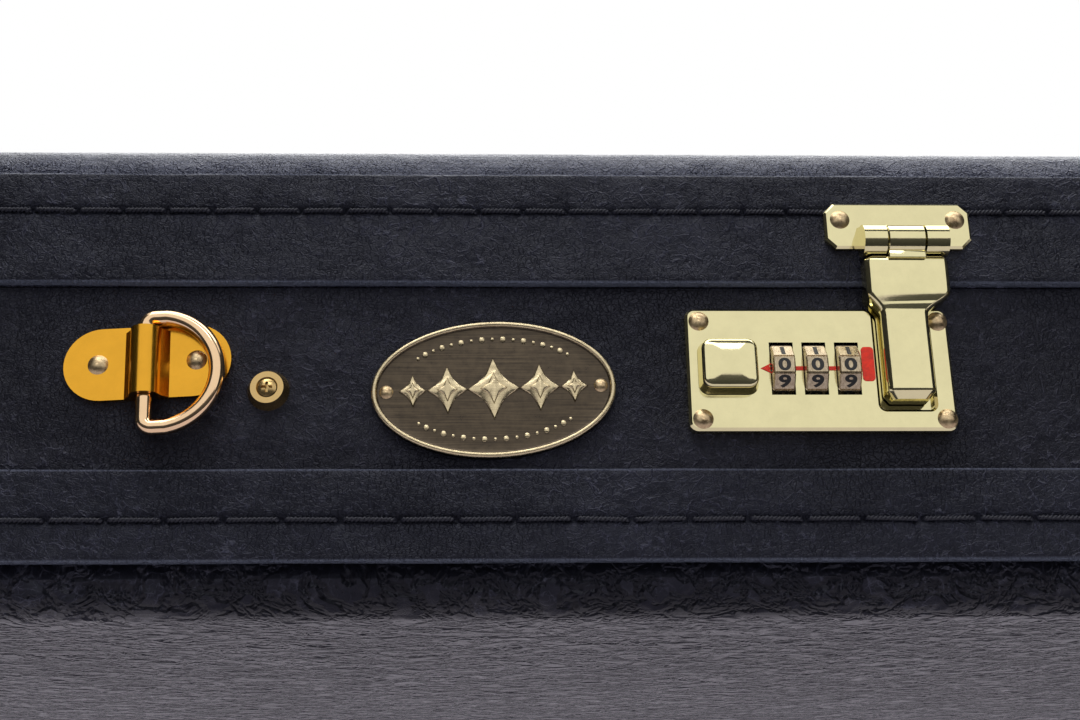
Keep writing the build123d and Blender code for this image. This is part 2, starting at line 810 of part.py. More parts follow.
with BuildPart() as lock_housing:
    housing_plane = front_plane(lock_x + wheel_offset, lock_height, sheet_back)
    with BuildSketch(housing_plane):
        Rectangle(housing_length, 2 * wheel_radius)
    extrude(amount=-sheet_back)
    with BuildSketch(front_plane(lock_x + wheel_offset, lock_height)):
        Rectangle(housing_length, 2 * housing_half_width)
    extrude(amount=-housing_depth)
    with BuildSketch(housing_plane):
        Rectangle(housing_length - 2 * housing_sheet, 2 * (housing_half_width - housing_sheet))
    extrude(amount=-(sheet_back + housing_depth - housing_sheet), mode=Mode.SUBTRACT)
    with BuildSketch(side_plane(lock_x + wheel_offset - housing_length / 2, lock_height, shaft_depth)):
        Circle(shaft_radius)
    extrude(amount=housing_length, mode=Mode.SUBTRACT)
keep(lock_housing.part, "lock_housing")

with BuildPart() as wheel_springs:
    for spot in wheel_spots:
        with BuildSketch(front_plane(lock_x + spot, lock_height, housing_sheet - housing_depth)):
            Rectangle(2.5, 9.0)
        extrude(amount=0.6)
keep(wheel_springs.part, "wheel_springs")

# Red index line and mark on the plate's face
with BuildPart() as index_paint:
    mark_left = combination.channel_left - 0.7 - index_mark_length
    line_start = combination.button + button_length / 2 + 1.2
    gap = wheel_width / 2 + wheel_side_gap
    with BuildSketch(front_plane(lock_x, lock_height, lock_plate_depth)):
        with Locations((mark_left + index_mark_length / 2, 1.0)):
            RectangleRounded(index_mark_length, index_mark_width, 0.8)
        with BuildLine():
            Polyline(
                (line_start, 0),
                (line_start + 2.4, 1.2),
                (line_start + 1.8, 0.35),
                (wheel_spots[0] - gap, 0.35),
                (wheel_spots[0] - gap, -0.35),
                (line_start + 1.8, -0.35),
                (line_start + 2.4, -1.2),
                close=True,
            )
        make_face()
        for spot in wheel_spots[:-1]:
            with Locations((spot + wheel_pitch / 2, 0)):
                Rectangle(wheel_pitch - 2 * gap, 0.9)
        line_end = (wheel_spots[-1] + gap + mark_left) / 2
        with Locations((line_end, 0.2)):
            Rectangle(mark_left - wheel_spots[-1] - gap + 0.4, 0.9)
    extrude(amount=paint)
keep(index_paint.part, "index_paint")


# Hasps and their plates on the lid
def hasp_plate(latch):
    """Riveted plate on the lid's band, with the two outer knuckles at its lower edge."""
    x = latch.x + latch.hasp
    knuckle_inner = middle_knuckle / 2 + knuckle_gap
    half = hasp_head_length / 2 + head_side_play
    axis_to_face = hasp_axis_depth - band_thickness
    plate_top = hasp_plate_width - hasp_plate_drop
    with BuildPart() as plate:
        with BuildSketch(front_plane(x, hasp_axis_height, band_thickness)) as plan:
            with Locations((0, plate_top - hasp_plate_width / 2)):
                Rectangle(hasp_plate_length, hasp_plate_width)
            chamfer(plan.vertices(), hasp_plate_chamfer)
        extrude(amount=hasp_plate_sheet)
        chamfer(plate.faces().sort_by(Axis.Y)[0].edges(), 0.5)
        with BuildSketch(side_plane(x - half, hasp_axis_height, hasp_axis_depth)):
            with BuildLine():
                Polyline(
                    (-2.4, 2.7),
                    (axis_to_face - hasp_plate_sheet, knuckle_web_rise),
                    (axis_to_face, knuckle_web_rise),
                    (axis_to_face, 0),
                    (0, 0),
                    close=True,
                )
            make_face()
            Circle(barrel_radius)
        extrude(amount=2 * half)
        with BuildSketch(side_plane(x - knuckle_inner, hasp_axis_height, hasp_axis_depth)):
            Circle(barrel_radius + knuckle_clearance)
            with Locations((-1.0, -2 * barrel_radius)):
                Rectangle(12 * barrel_radius, 4 * barrel_radius)
        extrude(amount=2 * knuckle_inner, mode=Mode.SUBTRACT)
        with BuildSketch(side_plane(x - half, hasp_axis_height, hasp_axis_depth)):
            Circle(pin_radius)
        extrude(amount=2 * half, mode=Mode.SUBTRACT)
        with Locations(front_plane(x, hasp_rivet_height, band_thickness + hasp_plate_sheet)):
            with Locations((-hasp_rivet_spacing / 2, 0), (hasp_rivet_spacing / 2, 0)):
                through_holes(rivet_shank + hole_clearance, 4)
    return plate.part


def hasp(latch):
    """Cast hasp: middle knuckle, head, drawn-in shoulders and a thick arm down into the channel."""
    x = latch.x + latch.hasp
    half_head = hasp_head_length / 2
    half_arm = hasp_arm_length / 2
    shift = hasp_arm_shift
    front = lock_plate_depth + arm_over_plate
    to_front = hasp_axis_depth - front
    to_back = hasp_axis_depth - 1.5
    over_band = hasp_axis_depth - band_thickness - head_over_band
    with BuildPart() as body:
        with BuildSketch(side_plane(x - half_head, hasp_axis_height, hasp_axis_depth)):
            with BuildLine():
                Polyline(
                    (-3.1, -1.6),
                    (-2.6, -6.5),
                    (-1.2, -11.0),
                    (to_front, -15.0),
                    (to_front, -hasp_reach + 1.6),
                    (to_front + 1.4, -hasp_reach),
                    (to_back, -hasp_reach),
                    (to_back, -12.5),
                    (over_band, -10.0),
                    (over_band, -1.6),
                    close=True,
                )
            make_face()
        extrude(amount=hasp_head_length)
        with BuildSketch(front_plane(x, hasp_axis_height, -20)):
            with BuildLine():
                Polyline((-half_head, 0), (-half_head, -9.6))
                Spline(
                    (-half_head, -9.6),
                    (shift - half_arm - 0.5, -13.0),
                    (shift - half_arm, -16.5),
                    tangents=((0.5, -1), (0, -1)),
                )
                Polyline(
                    (shift - half_arm, -16.5),
                    (shift - half_arm, -hasp_reach + 1.5),
                    (shift - half_arm + 1.5, -hasp_reach),
                    (shift + half_arm - 1.5, -hasp_reach),
                    (shift + half_arm, -hasp_reach + 1.5),
                    (shift + half_arm, -16.5),
                )
                Spline(
                    (shift + half_arm, -16.5),
                    (shift + half_arm + 0.5, -13.0),
                    (half_head, -9.6),
                    tangents=((0, 1), (0.5, 1)),
                )
                Polyline((half_head, -9.6), (half_head, 0), (-half_head, 0))
            make_face()
        extrude(amount=40, mode=Mode.INTERSECT)
        with BuildSketch(side_plane(x - half_head, hasp_axis_height, hasp_axis_depth)):
            Circle(barrel_radius + head_clearance)
        extrude(amount=hasp_head_length, mode=Mode.SUBTRACT)
        with BuildSketch(side_plane(x - middle_knuckle / 2, hasp_axis_height, hasp_axis_depth)):
            Circle(barrel_radius)
            with Locations((-0.3, -barrel_radius)):
                Rectangle(5.2, 2 * barrel_radius - 3.0)
        extrude(amount=middle_knuckle)
        with BuildSketch(side_plane(x - half_head, hasp_axis_height, hasp_axis_depth)):
            Circle(pin_radius + running_gap)
        extrude(amount=hasp_head_length, mode=Mode.SUBTRACT)
    return body.part


for latch_name, latch in latches.items():
    keep(hasp(latch), f"hasp_{latch_name}")

with BuildPart() as hasp_plates:
    for latch in latches.values():
        add(hasp_plate(latch))
keep(hasp_plates.part, "hasp_plates")

with BuildPart() as hasp_pins:
    pin_half = hasp_head_length / 2 + head_side_play
    for latch in latches.values():
        with BuildSketch(side_plane(latch.x + latch.hasp - pin_half, hasp_axis_height, hasp_axis_depth)):
            Circle(pin_radius)
        extrude(amount=2 * pin_half)
keep(hasp_pins.part, "hasp_pins")

with BuildPart(front_plane(depth=band_thickness + hasp_plate_sheet)) as hasp_plate_rivets:
    with Locations(*hasp_plate_rivet_spots):
        cap(rivet_radius, rivet_rise)
        shank(rivet_shank, hasp_plate_sheet + band_thickness + wall)
keep(hasp_plate_rivets.part, "hasp_plate_rivets")


# Strap rings
loop_inner = ring_wire_radius + loop_gap
loop_outer = loop_inner + ring_plate_sheet
ring_depth = ring_plate_sheet + ring_wire_radius + slide_gap


def tilted_front(x, height, tilt, depth=0.0):
    """Front plane turned in the wall's own plane."""
    turn = math.radians(tilt)
    origin = (x, front_y - depth, bottom_z + height)
    return Plane(origin, x_dir=(math.cos(turn), 0, math.sin(turn)), z_dir=(0, -1, 0))


def ring_plate(x):
    """Strip with round ends, raised in the middle into a loop for the ring's bar."""
    face = tilted_front(x, ring_height, ring_plate_tilt)
    across = Plane(face.from_local_coords((0, -ring_plate_width / 2, 0)), x_dir=face.x_dir, z_dir=face.y_dir)
    with BuildPart() as plate:
        with BuildSketch(face):
            SlotOverall(ring_plate_length, ring_plate_width)
        extrude(amount=ring_plate_sheet)
        with BuildSketch(across):
            with BuildLine():
                Polyline(
                    (-loop_skirt / 2 - 1.2, 0),
                    (-loop_outer, -ring_depth),
                    (loop_outer, -ring_depth),
                    (loop_skirt / 2 + 1.2, 0),
                    close=True,
                )
            make_face()
            with Locations((0, -ring_depth)):
                Circle(loop_outer)
        extrude(amount=ring_plate_width - loop_shortening)
        with BuildSketch(across):
            with Locations((0, -ring_depth)):
                Circle(loop_inner)
            with Locations((0, -ring_depth / 2 + 0.5)):
                Rectangle(2 * loop_inner, ring_depth + 1.0)
        extrude(amount=ring_plate_width, mode=Mode.SUBTRACT)
        with Locations(face.offset(ring_plate_sheet)):
            with Locations((-ring_rivet_spacing / 2, 0), (ring_rivet_spacing / 2, 0)):
                through_holes(rivet_shank + hole_clearance, 4)
    return plate.part


with BuildPart() as ring_plates:
    for spot in ring_spots.values():
        add(ring_plate(spot))
keep(ring_plates.part, "ring_plates")

with BuildPart(front_plane(depth=ring_plate_sheet)) as ring_rivets:
    with Locations(*ring_rivet_spots):
        cap(rivet_radius, rivet_rise)
        shank(rivet_shank, ring_plate_sheet + wall)
keep(ring_rivets.part, "ring_rivets")

for ring_name, spot in ring_spots.items():
    ring_face = tilted_front(spot, ring_height, ring_plate_tilt, ring_depth)
    with BuildPart() as strap_ring:
        half_bar = ring_bar_length / 2
        with BuildLine(ring_face) as ring_path:
            Line((0, -half_bar - ring_drop + 3), (0, half_bar - ring_drop - 3))
            FilletPolyline(
                (0, half_bar - ring_drop - 3),
                (0, half_bar - ring_drop),
                (4.5, half_bar - ring_drop),
                radius=ring_bend,
            )
            ThreePointArc(
                (4.5, half_bar - ring_drop),
                (ring_reach, -ring_drop),
                (4.5, -half_bar - ring_drop),
            )
            FilletPolyline(
                (4.5, -half_bar - ring_drop),
                (0, -half_bar - ring_drop),
                (0, -half_bar - ring_drop + 3),
                radius=ring_bend,
            )
        with BuildSketch(Plane(ring_face.from_local_coords((0, -ring_drop, 0)), z_dir=ring_face.y_dir)):
            Circle(ring_wire_radius)
        sweep(path=ring_path.wires()[0], transition=Transition.ROUND)
    keep(strap_ring.part, f"strap_ring_{ring_name}")

# Badge with a raised rim, and its screws
badge_face = tilted_front(badge_x, badge_height, badge_tilt)
with BuildPart() as badge:
    with BuildSketch(badge_face):
        Ellipse(badge_length / 2, badge_width / 2)
    extrude(amount=badge_thickness)
    with BuildSketch(badge_face.offset(badge_thickness)):
        Ellipse(badge_length / 2, badge_width / 2)
        Ellipse(badge_length / 2 - badge_rim, badge_width / 2 - badge_rim, mode=Mode.SUBTRACT)
    extrude(amount=0.6)
    with Locations(badge_face.offset(badge_thickness)):
        with Locations((-badge_screw_spacing / 2, 0), (badge_screw_spacing / 2, 0)):
            through_holes(cup_screw_shank + hole_clearance, 4)
keep(badge.part, "badge")

with BuildPart(front_plane(depth=badge_thickness)) as badge_screws:
    with Locations(*badge_screw_spots):
        cap(badge_screw_radius, 0.7)
        shank(cup_screw_shank, badge_thickness + wall)
keep(badge_screws.part, "badge_screws")


# Screws in cup washers that hold the partition, front and back
def cup_washer():
    Cone(cup_radius, cup_radius - 1.0, cup_rise, align=(Align.CENTER, Align.CENTER, Align.MIN))
    Cylinder(cup_screw_shank + hole_clearance, 2 * cup_rise + 1, mode=Mode.SUBTRACT)
    with Locations((0, 0, cup_rise)):
        Cone(
            cup_screw_shank,
            cup_screw_radius + 0.3,
            cup_rise - 0.8,
            align=(Align.CENTER, Align.CENTER, Align.MAX),
            mode=Mode.SUBTRACT,
        )


with BuildPart() as cup_washers:
    with Locations(
        front_plane(partition_x, partition_screw_height),
        back_plane(partition_x, partition_screw_height),
    ):
        cup_washer()
keep(cup_washers.part, "cup_washers")

with BuildPart() as partition_screws:
    with Locations(
        front_plane(partition_x, partition_screw_height, 0.8),
        back_plane(partition_x, partition_screw_height, 0.8),
    ):
        Cone(
            cup_screw_shank,
            cup_screw_radius,
            cup_rise - 1.0,
            align=(Align.CENTER, Align.CENTER, Align.MIN),
        )
        shank(cup_screw_shank, wall + 20)
    with Locations(
        front_plane(partition_x, partition_screw_height, cup_rise - 0.2),
        back_plane(partition_x, partition_screw_height, cup_rise - 0.2),
    ):
        cap(cup_screw_radius, 0.6)
        Box(2.4, 0.6, 1.2, mode=Mode.SUBTRACT)
        Box(0.6, 2.4, 1.2, mode=Mode.SUBTRACT)
keep(partition_screws.part, "partition_screws")

# Handle brackets, rivets, bow and grip
with BuildPart() as handle_brackets:
    for spot in bracket_spots:
        with BuildSketch(front_plane(spot, handle_pivot_height)):
            RectangleRounded(bracket_length, bracket_width, 3)
        extrude(amount=bracket_sheet)
        with BuildSketch(side_plane(spot - eye_length / 2, handle_pivot_height, handle_pivot_depth)):
            with Locations((handle_pivot_depth / 2, 0)):
                Rectangle(handle_pivot_depth, 7.5)
            Circle(eye_radius)
        extrude(amount=eye_length)
        with BuildSketch(side_plane(spot - eye_length / 2, handle_pivot_height, handle_pivot_depth)):
            Circle(handle_core_radius + 2 * running_gap)
        extrude(amount=eye_length, mode=Mode.SUBTRACT)
    with Locations(front_plane(depth=bracket_sheet)):
        with Locations(*bracket_rivet_spots):
            through_holes(rivet_shank + hole_clearance, 4)
keep(handle_brackets.part, "handle_brackets")

with BuildPart(front_plane(depth=bracket_sheet)) as bracket_rivets:
    with Locations(*bracket_rivet_spots):
        cap(rivet_radius, rivet_rise)
        shank(rivet_shank, bracket_sheet + wall)
keep(bracket_rivets.part, "bracket_rivets")

bow_half = handle_span / 2 - eye_length / 2 - handle_core_radius - 1.0
bow_end = handle_span / 2 + eye_length / 2
with BuildPart() as handle_bow:
    bow_face = front_plane(handle_x, handle_pivot_height, handle_pivot_depth)
    with BuildLine(bow_face) as bow_path:
        FilletPolyline(
            (-bow_end, 0),
            (-bow_half, 0),
            (-bow_half, -handle_drop),
            (bow_half, -handle_drop),
            (bow_half, 0),
            (bow_end, 0),
            radius=(2.6, handle_bend, handle_bend, 2.6),
        )
    with BuildSketch(Plane(bow_face.from_local_coords((-bow_end, 0, 0)), z_dir=(1, 0, 0))):
        Circle(handle_core_radius)
    sweep(path=bow_path.wires()[0])
keep(handle_bow.part, "handle_bow")

with BuildPart() as handle_grip:
    grip_z = handle_pivot_height - handle_drop
    stations = [(-0.5, grip_end_scale), (-0.3, 0.92), (0.0, 1.0), (0.3, 0.92), (0.5, grip_end_scale)]
    for share, scale in stations:
        with BuildSketch(side_plane(handle_x + share * grip_length, grip_z, handle_pivot_depth)):
            Ellipse(grip_thickness / 2 * scale, grip_width / 2 * scale)
    loft()
    with BuildSketch(side_plane(handle_x - grip_length, grip_z, handle_pivot_depth)):
        Circle(handle_core_radius)
    extrude(amount=2 * grip_length, mode=Mode.SUBTRACT)
keep(handle_grip.part, "handle_grip")
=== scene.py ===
import json
import math
import random

import bpy
from bpy.props import FloatProperty, FloatVectorProperty, PointerProperty
from mathutils import Matrix, Vector, noise


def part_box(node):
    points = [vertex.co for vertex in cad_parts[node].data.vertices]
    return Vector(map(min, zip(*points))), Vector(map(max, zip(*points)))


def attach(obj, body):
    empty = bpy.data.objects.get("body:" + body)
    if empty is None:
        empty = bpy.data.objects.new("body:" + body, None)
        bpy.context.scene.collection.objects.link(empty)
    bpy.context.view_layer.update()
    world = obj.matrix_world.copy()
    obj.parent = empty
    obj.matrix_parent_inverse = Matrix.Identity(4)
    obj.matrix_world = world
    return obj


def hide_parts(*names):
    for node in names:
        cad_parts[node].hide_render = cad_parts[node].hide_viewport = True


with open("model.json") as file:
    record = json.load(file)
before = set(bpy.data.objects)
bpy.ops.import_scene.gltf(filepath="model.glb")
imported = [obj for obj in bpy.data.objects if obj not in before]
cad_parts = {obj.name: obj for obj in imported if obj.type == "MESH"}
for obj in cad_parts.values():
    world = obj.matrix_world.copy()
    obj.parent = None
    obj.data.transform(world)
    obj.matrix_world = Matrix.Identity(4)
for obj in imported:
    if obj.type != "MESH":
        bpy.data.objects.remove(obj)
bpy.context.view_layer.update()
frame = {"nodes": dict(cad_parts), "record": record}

bl_info = {
    "name": "Guitar case",
    "version": (1, 0, 0),
    "blender": (4, 5, 0),
    "location": "3D View > Sidebar > Case",
    "description": "Coverings, sewn bands, latches, badge and padding of a hard guitar case",
    "category": "Object",
}

MM = 0.001
BASE_LOW, BASE_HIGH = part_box("base_skin")
LATCH_SIDE = BASE_LOW.y
HINGE_SIDE = BASE_HIGH.y
MIDDLE_Y = (LATCH_SIDE + HINGE_SIDE) / 2
HALF_LENGTH = BASE_HIGH.x
HALF_WIDTH = (HINGE_SIDE - LATCH_SIDE) / 2
CORNER = 45 * MM
BAND_EDGES = [corner.z / MM for node in ("base_band", "lid_band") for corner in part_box(node)]
HASP_AXIS_OUT = 6.5 * MM
HASP_AXIS_HEIGHT = 90.1 * MM
LOCK_HEIGHT = 61.6 * MM
WHEEL_RADIUS = 6.2 * MM
BADGE_X = -190.3 * MM
BADGE_HEIGHT = 57.5 * MM
BADGE_TILT = math.radians(1.95)
# Colour of the painted highlight lines along the band edges.
EDGE_HIGHLIGHT_PAINT = (0.1, 0.11, 0.16)
WHITE = (1, 1, 1)
# The photograph's camera. Its turns are degrees aside, up and over.
CAMERA_PLACE = (-0.18778, -0.47607, -0.03937)
CAMERA_TURNS = (1.5, 20, -0.5)
CAMERA_LENS = 46.667
LATCHES = ("combination", "left", "right")
WHEELS = ("first", "second", "third")


class Value:
    """A number socket in a material. Sums and products on it add Math nodes."""

    def __init__(self, finish, socket):
        self.finish = finish
        self.socket = socket

    def join(self, operation, first, second=None, clamp=False):
        sockets = {0: first}
        if second is not None:
            sockets[1] = second
        made = self.finish.node("ShaderNodeMath", {"operation": operation, "use_clamp": clamp}, sockets)
        return Value(self.finish, made.outputs[0])

    def __add__(self, other):
        return self.join("ADD", self, other)

    def __radd__(self, other):
        return self.join("ADD", other, self)

    def __sub__(self, other):
        return self.join("SUBTRACT", self, other)

    def __rsub__(self, other):
        return self.join("SUBTRACT", other, self)

    def __mul__(self, other):
        return self.join("MULTIPLY", self, other)

    def __rmul__(self, other):
        return self.join("MULTIPLY", other, self)

    def absolute(self):
        return self.join("ABSOLUTE", self)

    def clamped(self):
        return self.join("ADD", self, 0.0, clamp=True)


class Finish:
    """A material, or the surroundings, and the ways to add nodes to it."""

    def __init__(self, name, surroundings=None):
        self.material = surroundings or bpy.data.materials.new(name)
        self.material.use_nodes = True
        self.tree = self.material.node_tree
        self.tree.nodes.clear()

    def node(self, kind, settings=None, sockets=None):
        """A node of one kind, with its settings, then the values or links of its sockets."""
        made = self.tree.nodes.new(kind)
        for key, value in (settings or {}).items():
            setattr(made, key, value)
        for key, value in (sockets or {}).items():
            socket = made.inputs[key]
            if isinstance(value, Value):
                value = value.socket
            if isinstance(value, bpy.types.NodeSocket):
                self.tree.links.new(value, socket)
            elif isinstance(value, (tuple, list)) and socket.type == "RGBA" and len(value) == 3:
                socket.default_value = (*value, 1)
            else:
                socket.default_value = value
        return made

    def place(self, scale=(1, 1, 1)):
        """Position on the piece in millimetres, stretched by scale."""
        where = self.node("ShaderNodeTexCoord").outputs["Object"]
        scale = tuple(1000 * part for part in scale)
        return self.vector("MULTIPLY", {0: where, 1: scale})

    def vector(self, operation, sockets):
        return self.node("ShaderNodeVectorMath", {"operation": operation}, sockets).outputs[0]

    def noise(self, where, scale, detail=3.0, rough=0.55):
        sockets = {"Vector": where, "Scale": scale, "Detail": detail, "Roughness": rough}
        return Value(self, self.node("ShaderNodeTexNoise", None, sockets).outputs["Fac"])

    def warped(self, where, scale, amount):
        """The same place, pushed about by soft noise."""
        push = self.node("ShaderNodeTexNoise", None, {"Vector": where, "Scale": scale, "Detail": 2.0})
        either_way = self.vector("SUBTRACT", {0: push.outputs["Color"], 1: (0.5, 0.5, 0.5)})
        return self.vector("ADD", {0: where, 1: self.vector("SCALE", {0: either_way, "Scale": amount})})

    def creases(self, where, scale, width):
        """1 on the lines between cells, falling to 0 at width."""
        cells = self.node(
            "ShaderNodeTexVoronoi", {"feature": "DISTANCE_TO_EDGE"}, {"Vector": where, "Scale": scale}
        ).outputs["Distance"]
        sockets = {"Value": cells, "From Max": width, "To Min": 1.0, "To Max": 0.0}
        ramp = self.node("ShaderNodeMapRange", {"interpolation_type": "SMOOTHSTEP"}, sockets)
        return Value(self, ramp.outputs["Result"])

    def range(self, value, low, high, to_low=0.0, to_high=1.0):
        sockets = {"Value": value, "From Min": low, "From Max": high, "To Min": to_low, "To Max": to_high}
        return Value(self, self.node("ShaderNodeMapRange", None, sockets).outputs["Result"])

    def mix(self, share, first, second):
        made = self.node("ShaderNodeMix", {"data_type": "RGBA"}, {0: share, 6: first, 7: second})
        return made.outputs[2]

    def bump(self, height, distance, strength=1.0):
        sockets = {"Height": height, "Distance": distance, "Strength": strength}
        return self.node("ShaderNodeBump", None, sockets).outputs["Normal"]

    def surface(self, **sockets):
        """The Principled shader, on the output."""
        named = {}
        for key, value in sockets.items():
            named[key.replace("_", " ").title().replace("Ior", "IOR")] = value
        made = self.node("ShaderNodeBsdfPrincipled", None, named)
        self.node("ShaderNodeOutputMaterial", None, {"Surface": made.outputs[0]})


def shade(gain, colour):
    """A darker or lighter version of a colour."""
    return tuple(min(1.0, part * gain) for part in colour)


def leatherette(name, colour, crease, rough, gloss, tint, edges=()):
    """Artificial leather: hair-fine folds in patches, coarser ones underneath; the folds are painted paler,
    partly wear and partly painted highlight, and the given edges get painted highlight lines.
    """
    made = Finish(name)
    where = made.place()
    bent = made.warped(where, 0.08, 9.0)
    fine = made.warped(where, 0.35, 2.6)
    patches = made.range(made.noise(where, 0.03, 3.0), 0.4, 0.6)
    strands = made.creases(made.warped(bent, 0.5, 1.6), 0.34, 0.07)
    hairs = made.creases(fine, 0.85, 0.1)
    grain = made.noise(where, 2.4, 3.0, 0.65)
    swell = made.noise(where, 0.1, 3.0)
    breaks = made.range(made.noise(where, 0.5, 3.0), 0.42, 0.56)
    ridged = (made.noise(made.warped(where, 0.06, 14.0), 0.15, 3.0, 0.55) - 0.5).absolute()
    height_axis = Value(made, made.node("ShaderNodeSeparateXYZ", None, {0: where}).outputs["Z"])
    foot = BASE_LOW.z / MM
    under = made.range(height_axis, foot + 10.5, foot + 7.0)
    raised = strands * breaks * (patches * 0.8 + 0.2)
    height = (swell * 2.4) + (raised * 0.4) - (hairs * 0.22 * (1 - patches * 0.6)) + (grain * 0.3)
    coarse = made.range(ridged, 0.0, 0.09) * 4.6 + made.noise(bent, 0.14, 1.0) * 7.0
    height = height * (1 - under * 0.8) + coarse * under
    # Paler on the folds and on the swells' tops in patches: partly wear, partly painted highlight.
    wear_and_highlight = (raised + hairs * breaks * patches * 0.6 + patches * made.range(swell, 0.4, 0.65) * 0.14).clamped()
    dull = made.noise(where, 0.02, 3.0)
    base = made.mix(dull, shade(0.75, colour), shade(1.2, colour))
    base = made.mix(wear_and_highlight, base, tuple(0.012 + part * 4.6 for part in colour))
    # Painted highlight: a pale line, broken by the grain, along each given edge height.
    for edge in edges:
        away = (height_axis - edge).absolute()
        edge_highlight = made.range(away, 0.3, 0.75, 1.0, 0.0) * made.range(grain, 0.3, 0.6, 0.3, 0.9)
        base = made.mix(edge_highlight, base, EDGE_HIGHLIGHT_PAINT)
    made.surface(
        base_color=base,
        roughness=made.range(grain - wear_and_highlight * 0.4, 0.1, 0.9, rough - 0.12, rough + 0.1),
        specular_ior_level=gloss,
        specular_tint=(*tint, 1.0),
        normal=made.bump(height, 0.00045 * crease, 0.9),
    )
    return made.material


def polished(name, colour, rough=0.08, scratch=0.35, dark=0.5):
    """Plated brass: fine hairlines, faint clouding and tarnish in small spots."""
    made = Finish(name)
    where = made.place()
    cloud = made.noise(where, 0.22, 4.0, 0.6)
    hair = made.noise(made.place((0.5, 1, 9)), 1.3, 3.0, 0.7)
    spots = made.range(made.noise(where, 1.9, 4.0, 0.7), 0.66, 0.78)
    base = made.mix(made.range(cloud, 0.35, 0.7), colour, shade(0.93, colour))
    base = made.mix(spots * dark * 0.4, base, shade(0.45, colour))
    roughness = made.range(cloud + hair * 0.4, 0.5, 1.0, rough, rough + 0.05) + spots * 0.1
    made.surface(
        base_color=base,
        metallic=1.0,
        roughness=roughness,
        normal=made.bump(cloud + hair * scratch * 0.15, 0.00005, 0.25),
    )
    return made.material


def aged(name, high, low, rough=0.34, direction=(0.25, 1, 6)):
    """Aged brass: darker and brighter in noisy blotches and streaks, brushed one way."""
    made = Finish(name)
    where = made.place()
    brushed = made.noise(made.place(direction), 1.1, 4.0, 0.7)
    blot = made.noise(where, 0.55, 4.0, 0.65)
    share = made.range(blot * 0.35 + brushed * 0.7, 0.38, 0.68)
    base = made.mix(share, low, high)
    made.surface(
        base_color=base,
        metallic=0.95,
        roughness=made.range(blot, 0.3, 0.7, rough - 0.08, rough + 0.14),
        normal=made.bump(brushed * 0.5 + blot * 0.6, 0.00006, 0.4),
    )
    return made.material


def plush(name, colour):
    """Short pile: soft clumps, brushed patches and a sheen at the edges."""
    made = Finish(name)
    where = made.place()
    clumps = made.noise(where, 0.9, 3.0, 0.7)
    brushed = made.range(made.noise(made.place((1, 0.5, 1)), 0.02, 3.0), 0.35, 0.65)
    base = made.mix(brushed, shade(0.72, colour), shade(1.25, colour))
    # Darker where the clumps sink: painted shade between the clumps.
    base = made.mix(made.range(clumps, 0.3, 0.7), shade(0.55, colour), base)
    made.surface(
        base_color=base,
        roughness=made.range(clumps, 0.3, 0.7, 0.85, 1.0),
        sheen_weight=0.6,
        sheen_roughness=0.35,
        specular_ior_level=0.15,
        normal=made.bump(clumps + made.noise(where, 3.5, 2.0) * 0.6, 0.0005, 0.7),
    )
    return made.material


def plywood(name):
    made = Finish(name)
    sockets = {"Vector": made.place(), "Scale": 0.25, "Distortion": 1.5}
    layers = made.node("ShaderNodeTexWave", {"bands_direction": "Z"}, sockets)
    grain = made.noise(made.place((0.04, 0.6, 1)), 0.8, 5.0, 0.7)
    base = made.mix(grain, (0.36, 0.22, 0.11), (0.55, 0.38, 0.2))
    base = made.mix(Value(made, layers.outputs["Fac"]) * 0.35, base, (0.25, 0.15, 0.08))
    roughness = made.range(grain, 0.3, 0.7, 0.5, 0.7)
    made.surface(base_color=base, roughness=roughness, normal=made.bump(grain, 0.0002, 0.5))
    return made.material


def rubber(name):
    made = Finish(name)
    specks = made.noise(made.place(), 2.2, 3.0, 0.7)
    base = made.mix(made.range(specks, 0.35, 0.65), (0.012, 0.012, 0.013), (0.03, 0.03, 0.032))
    roughness = made.range(specks, 0.3, 0.7, 0.5, 0.68)
    made.surface(base_color=base, roughness=roughness, normal=made.bump(specks, 0.0001, 0.5))
    return made.material


def enamel(name, colour, rough=0.3):
    """Paint laid on by hand: uneven film, slightly thin in places."""
    made = Finish(name)
    film = made.noise(made.place(), 0.9, 4.0, 0.6)
    base = made.mix(made.range(film, 0.3, 0.7), shade(0.7, colour), shade(1.15, colour))
    roughness = made.range(film, 0.3, 0.7, rough, rough + 0.15)
    made.surface(base_color=base, roughness=roughness, normal=made.bump(film, 0.0001, 0.6))
    return made.material


def twine(name):
    """Waxed black thread: fibres along the twist and a soft gloss."""
    made = Finish(name)
    fibres = made.noise(made.place((0.6, 0.6, 3)), 3.0, 3.0, 0.7)
    base = made.mix(fibres, (0.003, 0.003, 0.006), (0.022, 0.023, 0.04))
    made.surface(
        base_color=base,
        roughness=made.range(fibres, 0.3, 0.7, 0.36, 0.55),
        specular_ior_level=0.35,
        normal=made.bump(fibres, 0.0001, 0.6),
    )
    return made.material


FINISHES = {}
TINTS = {
    "base": (0.8, 0.82, 1.0),
    "lid": (0.62, 0.68, 1.0),
    "band": (0.78, 0.81, 1.0),
    "handle": (0.76, 0.78, 1.0),
}


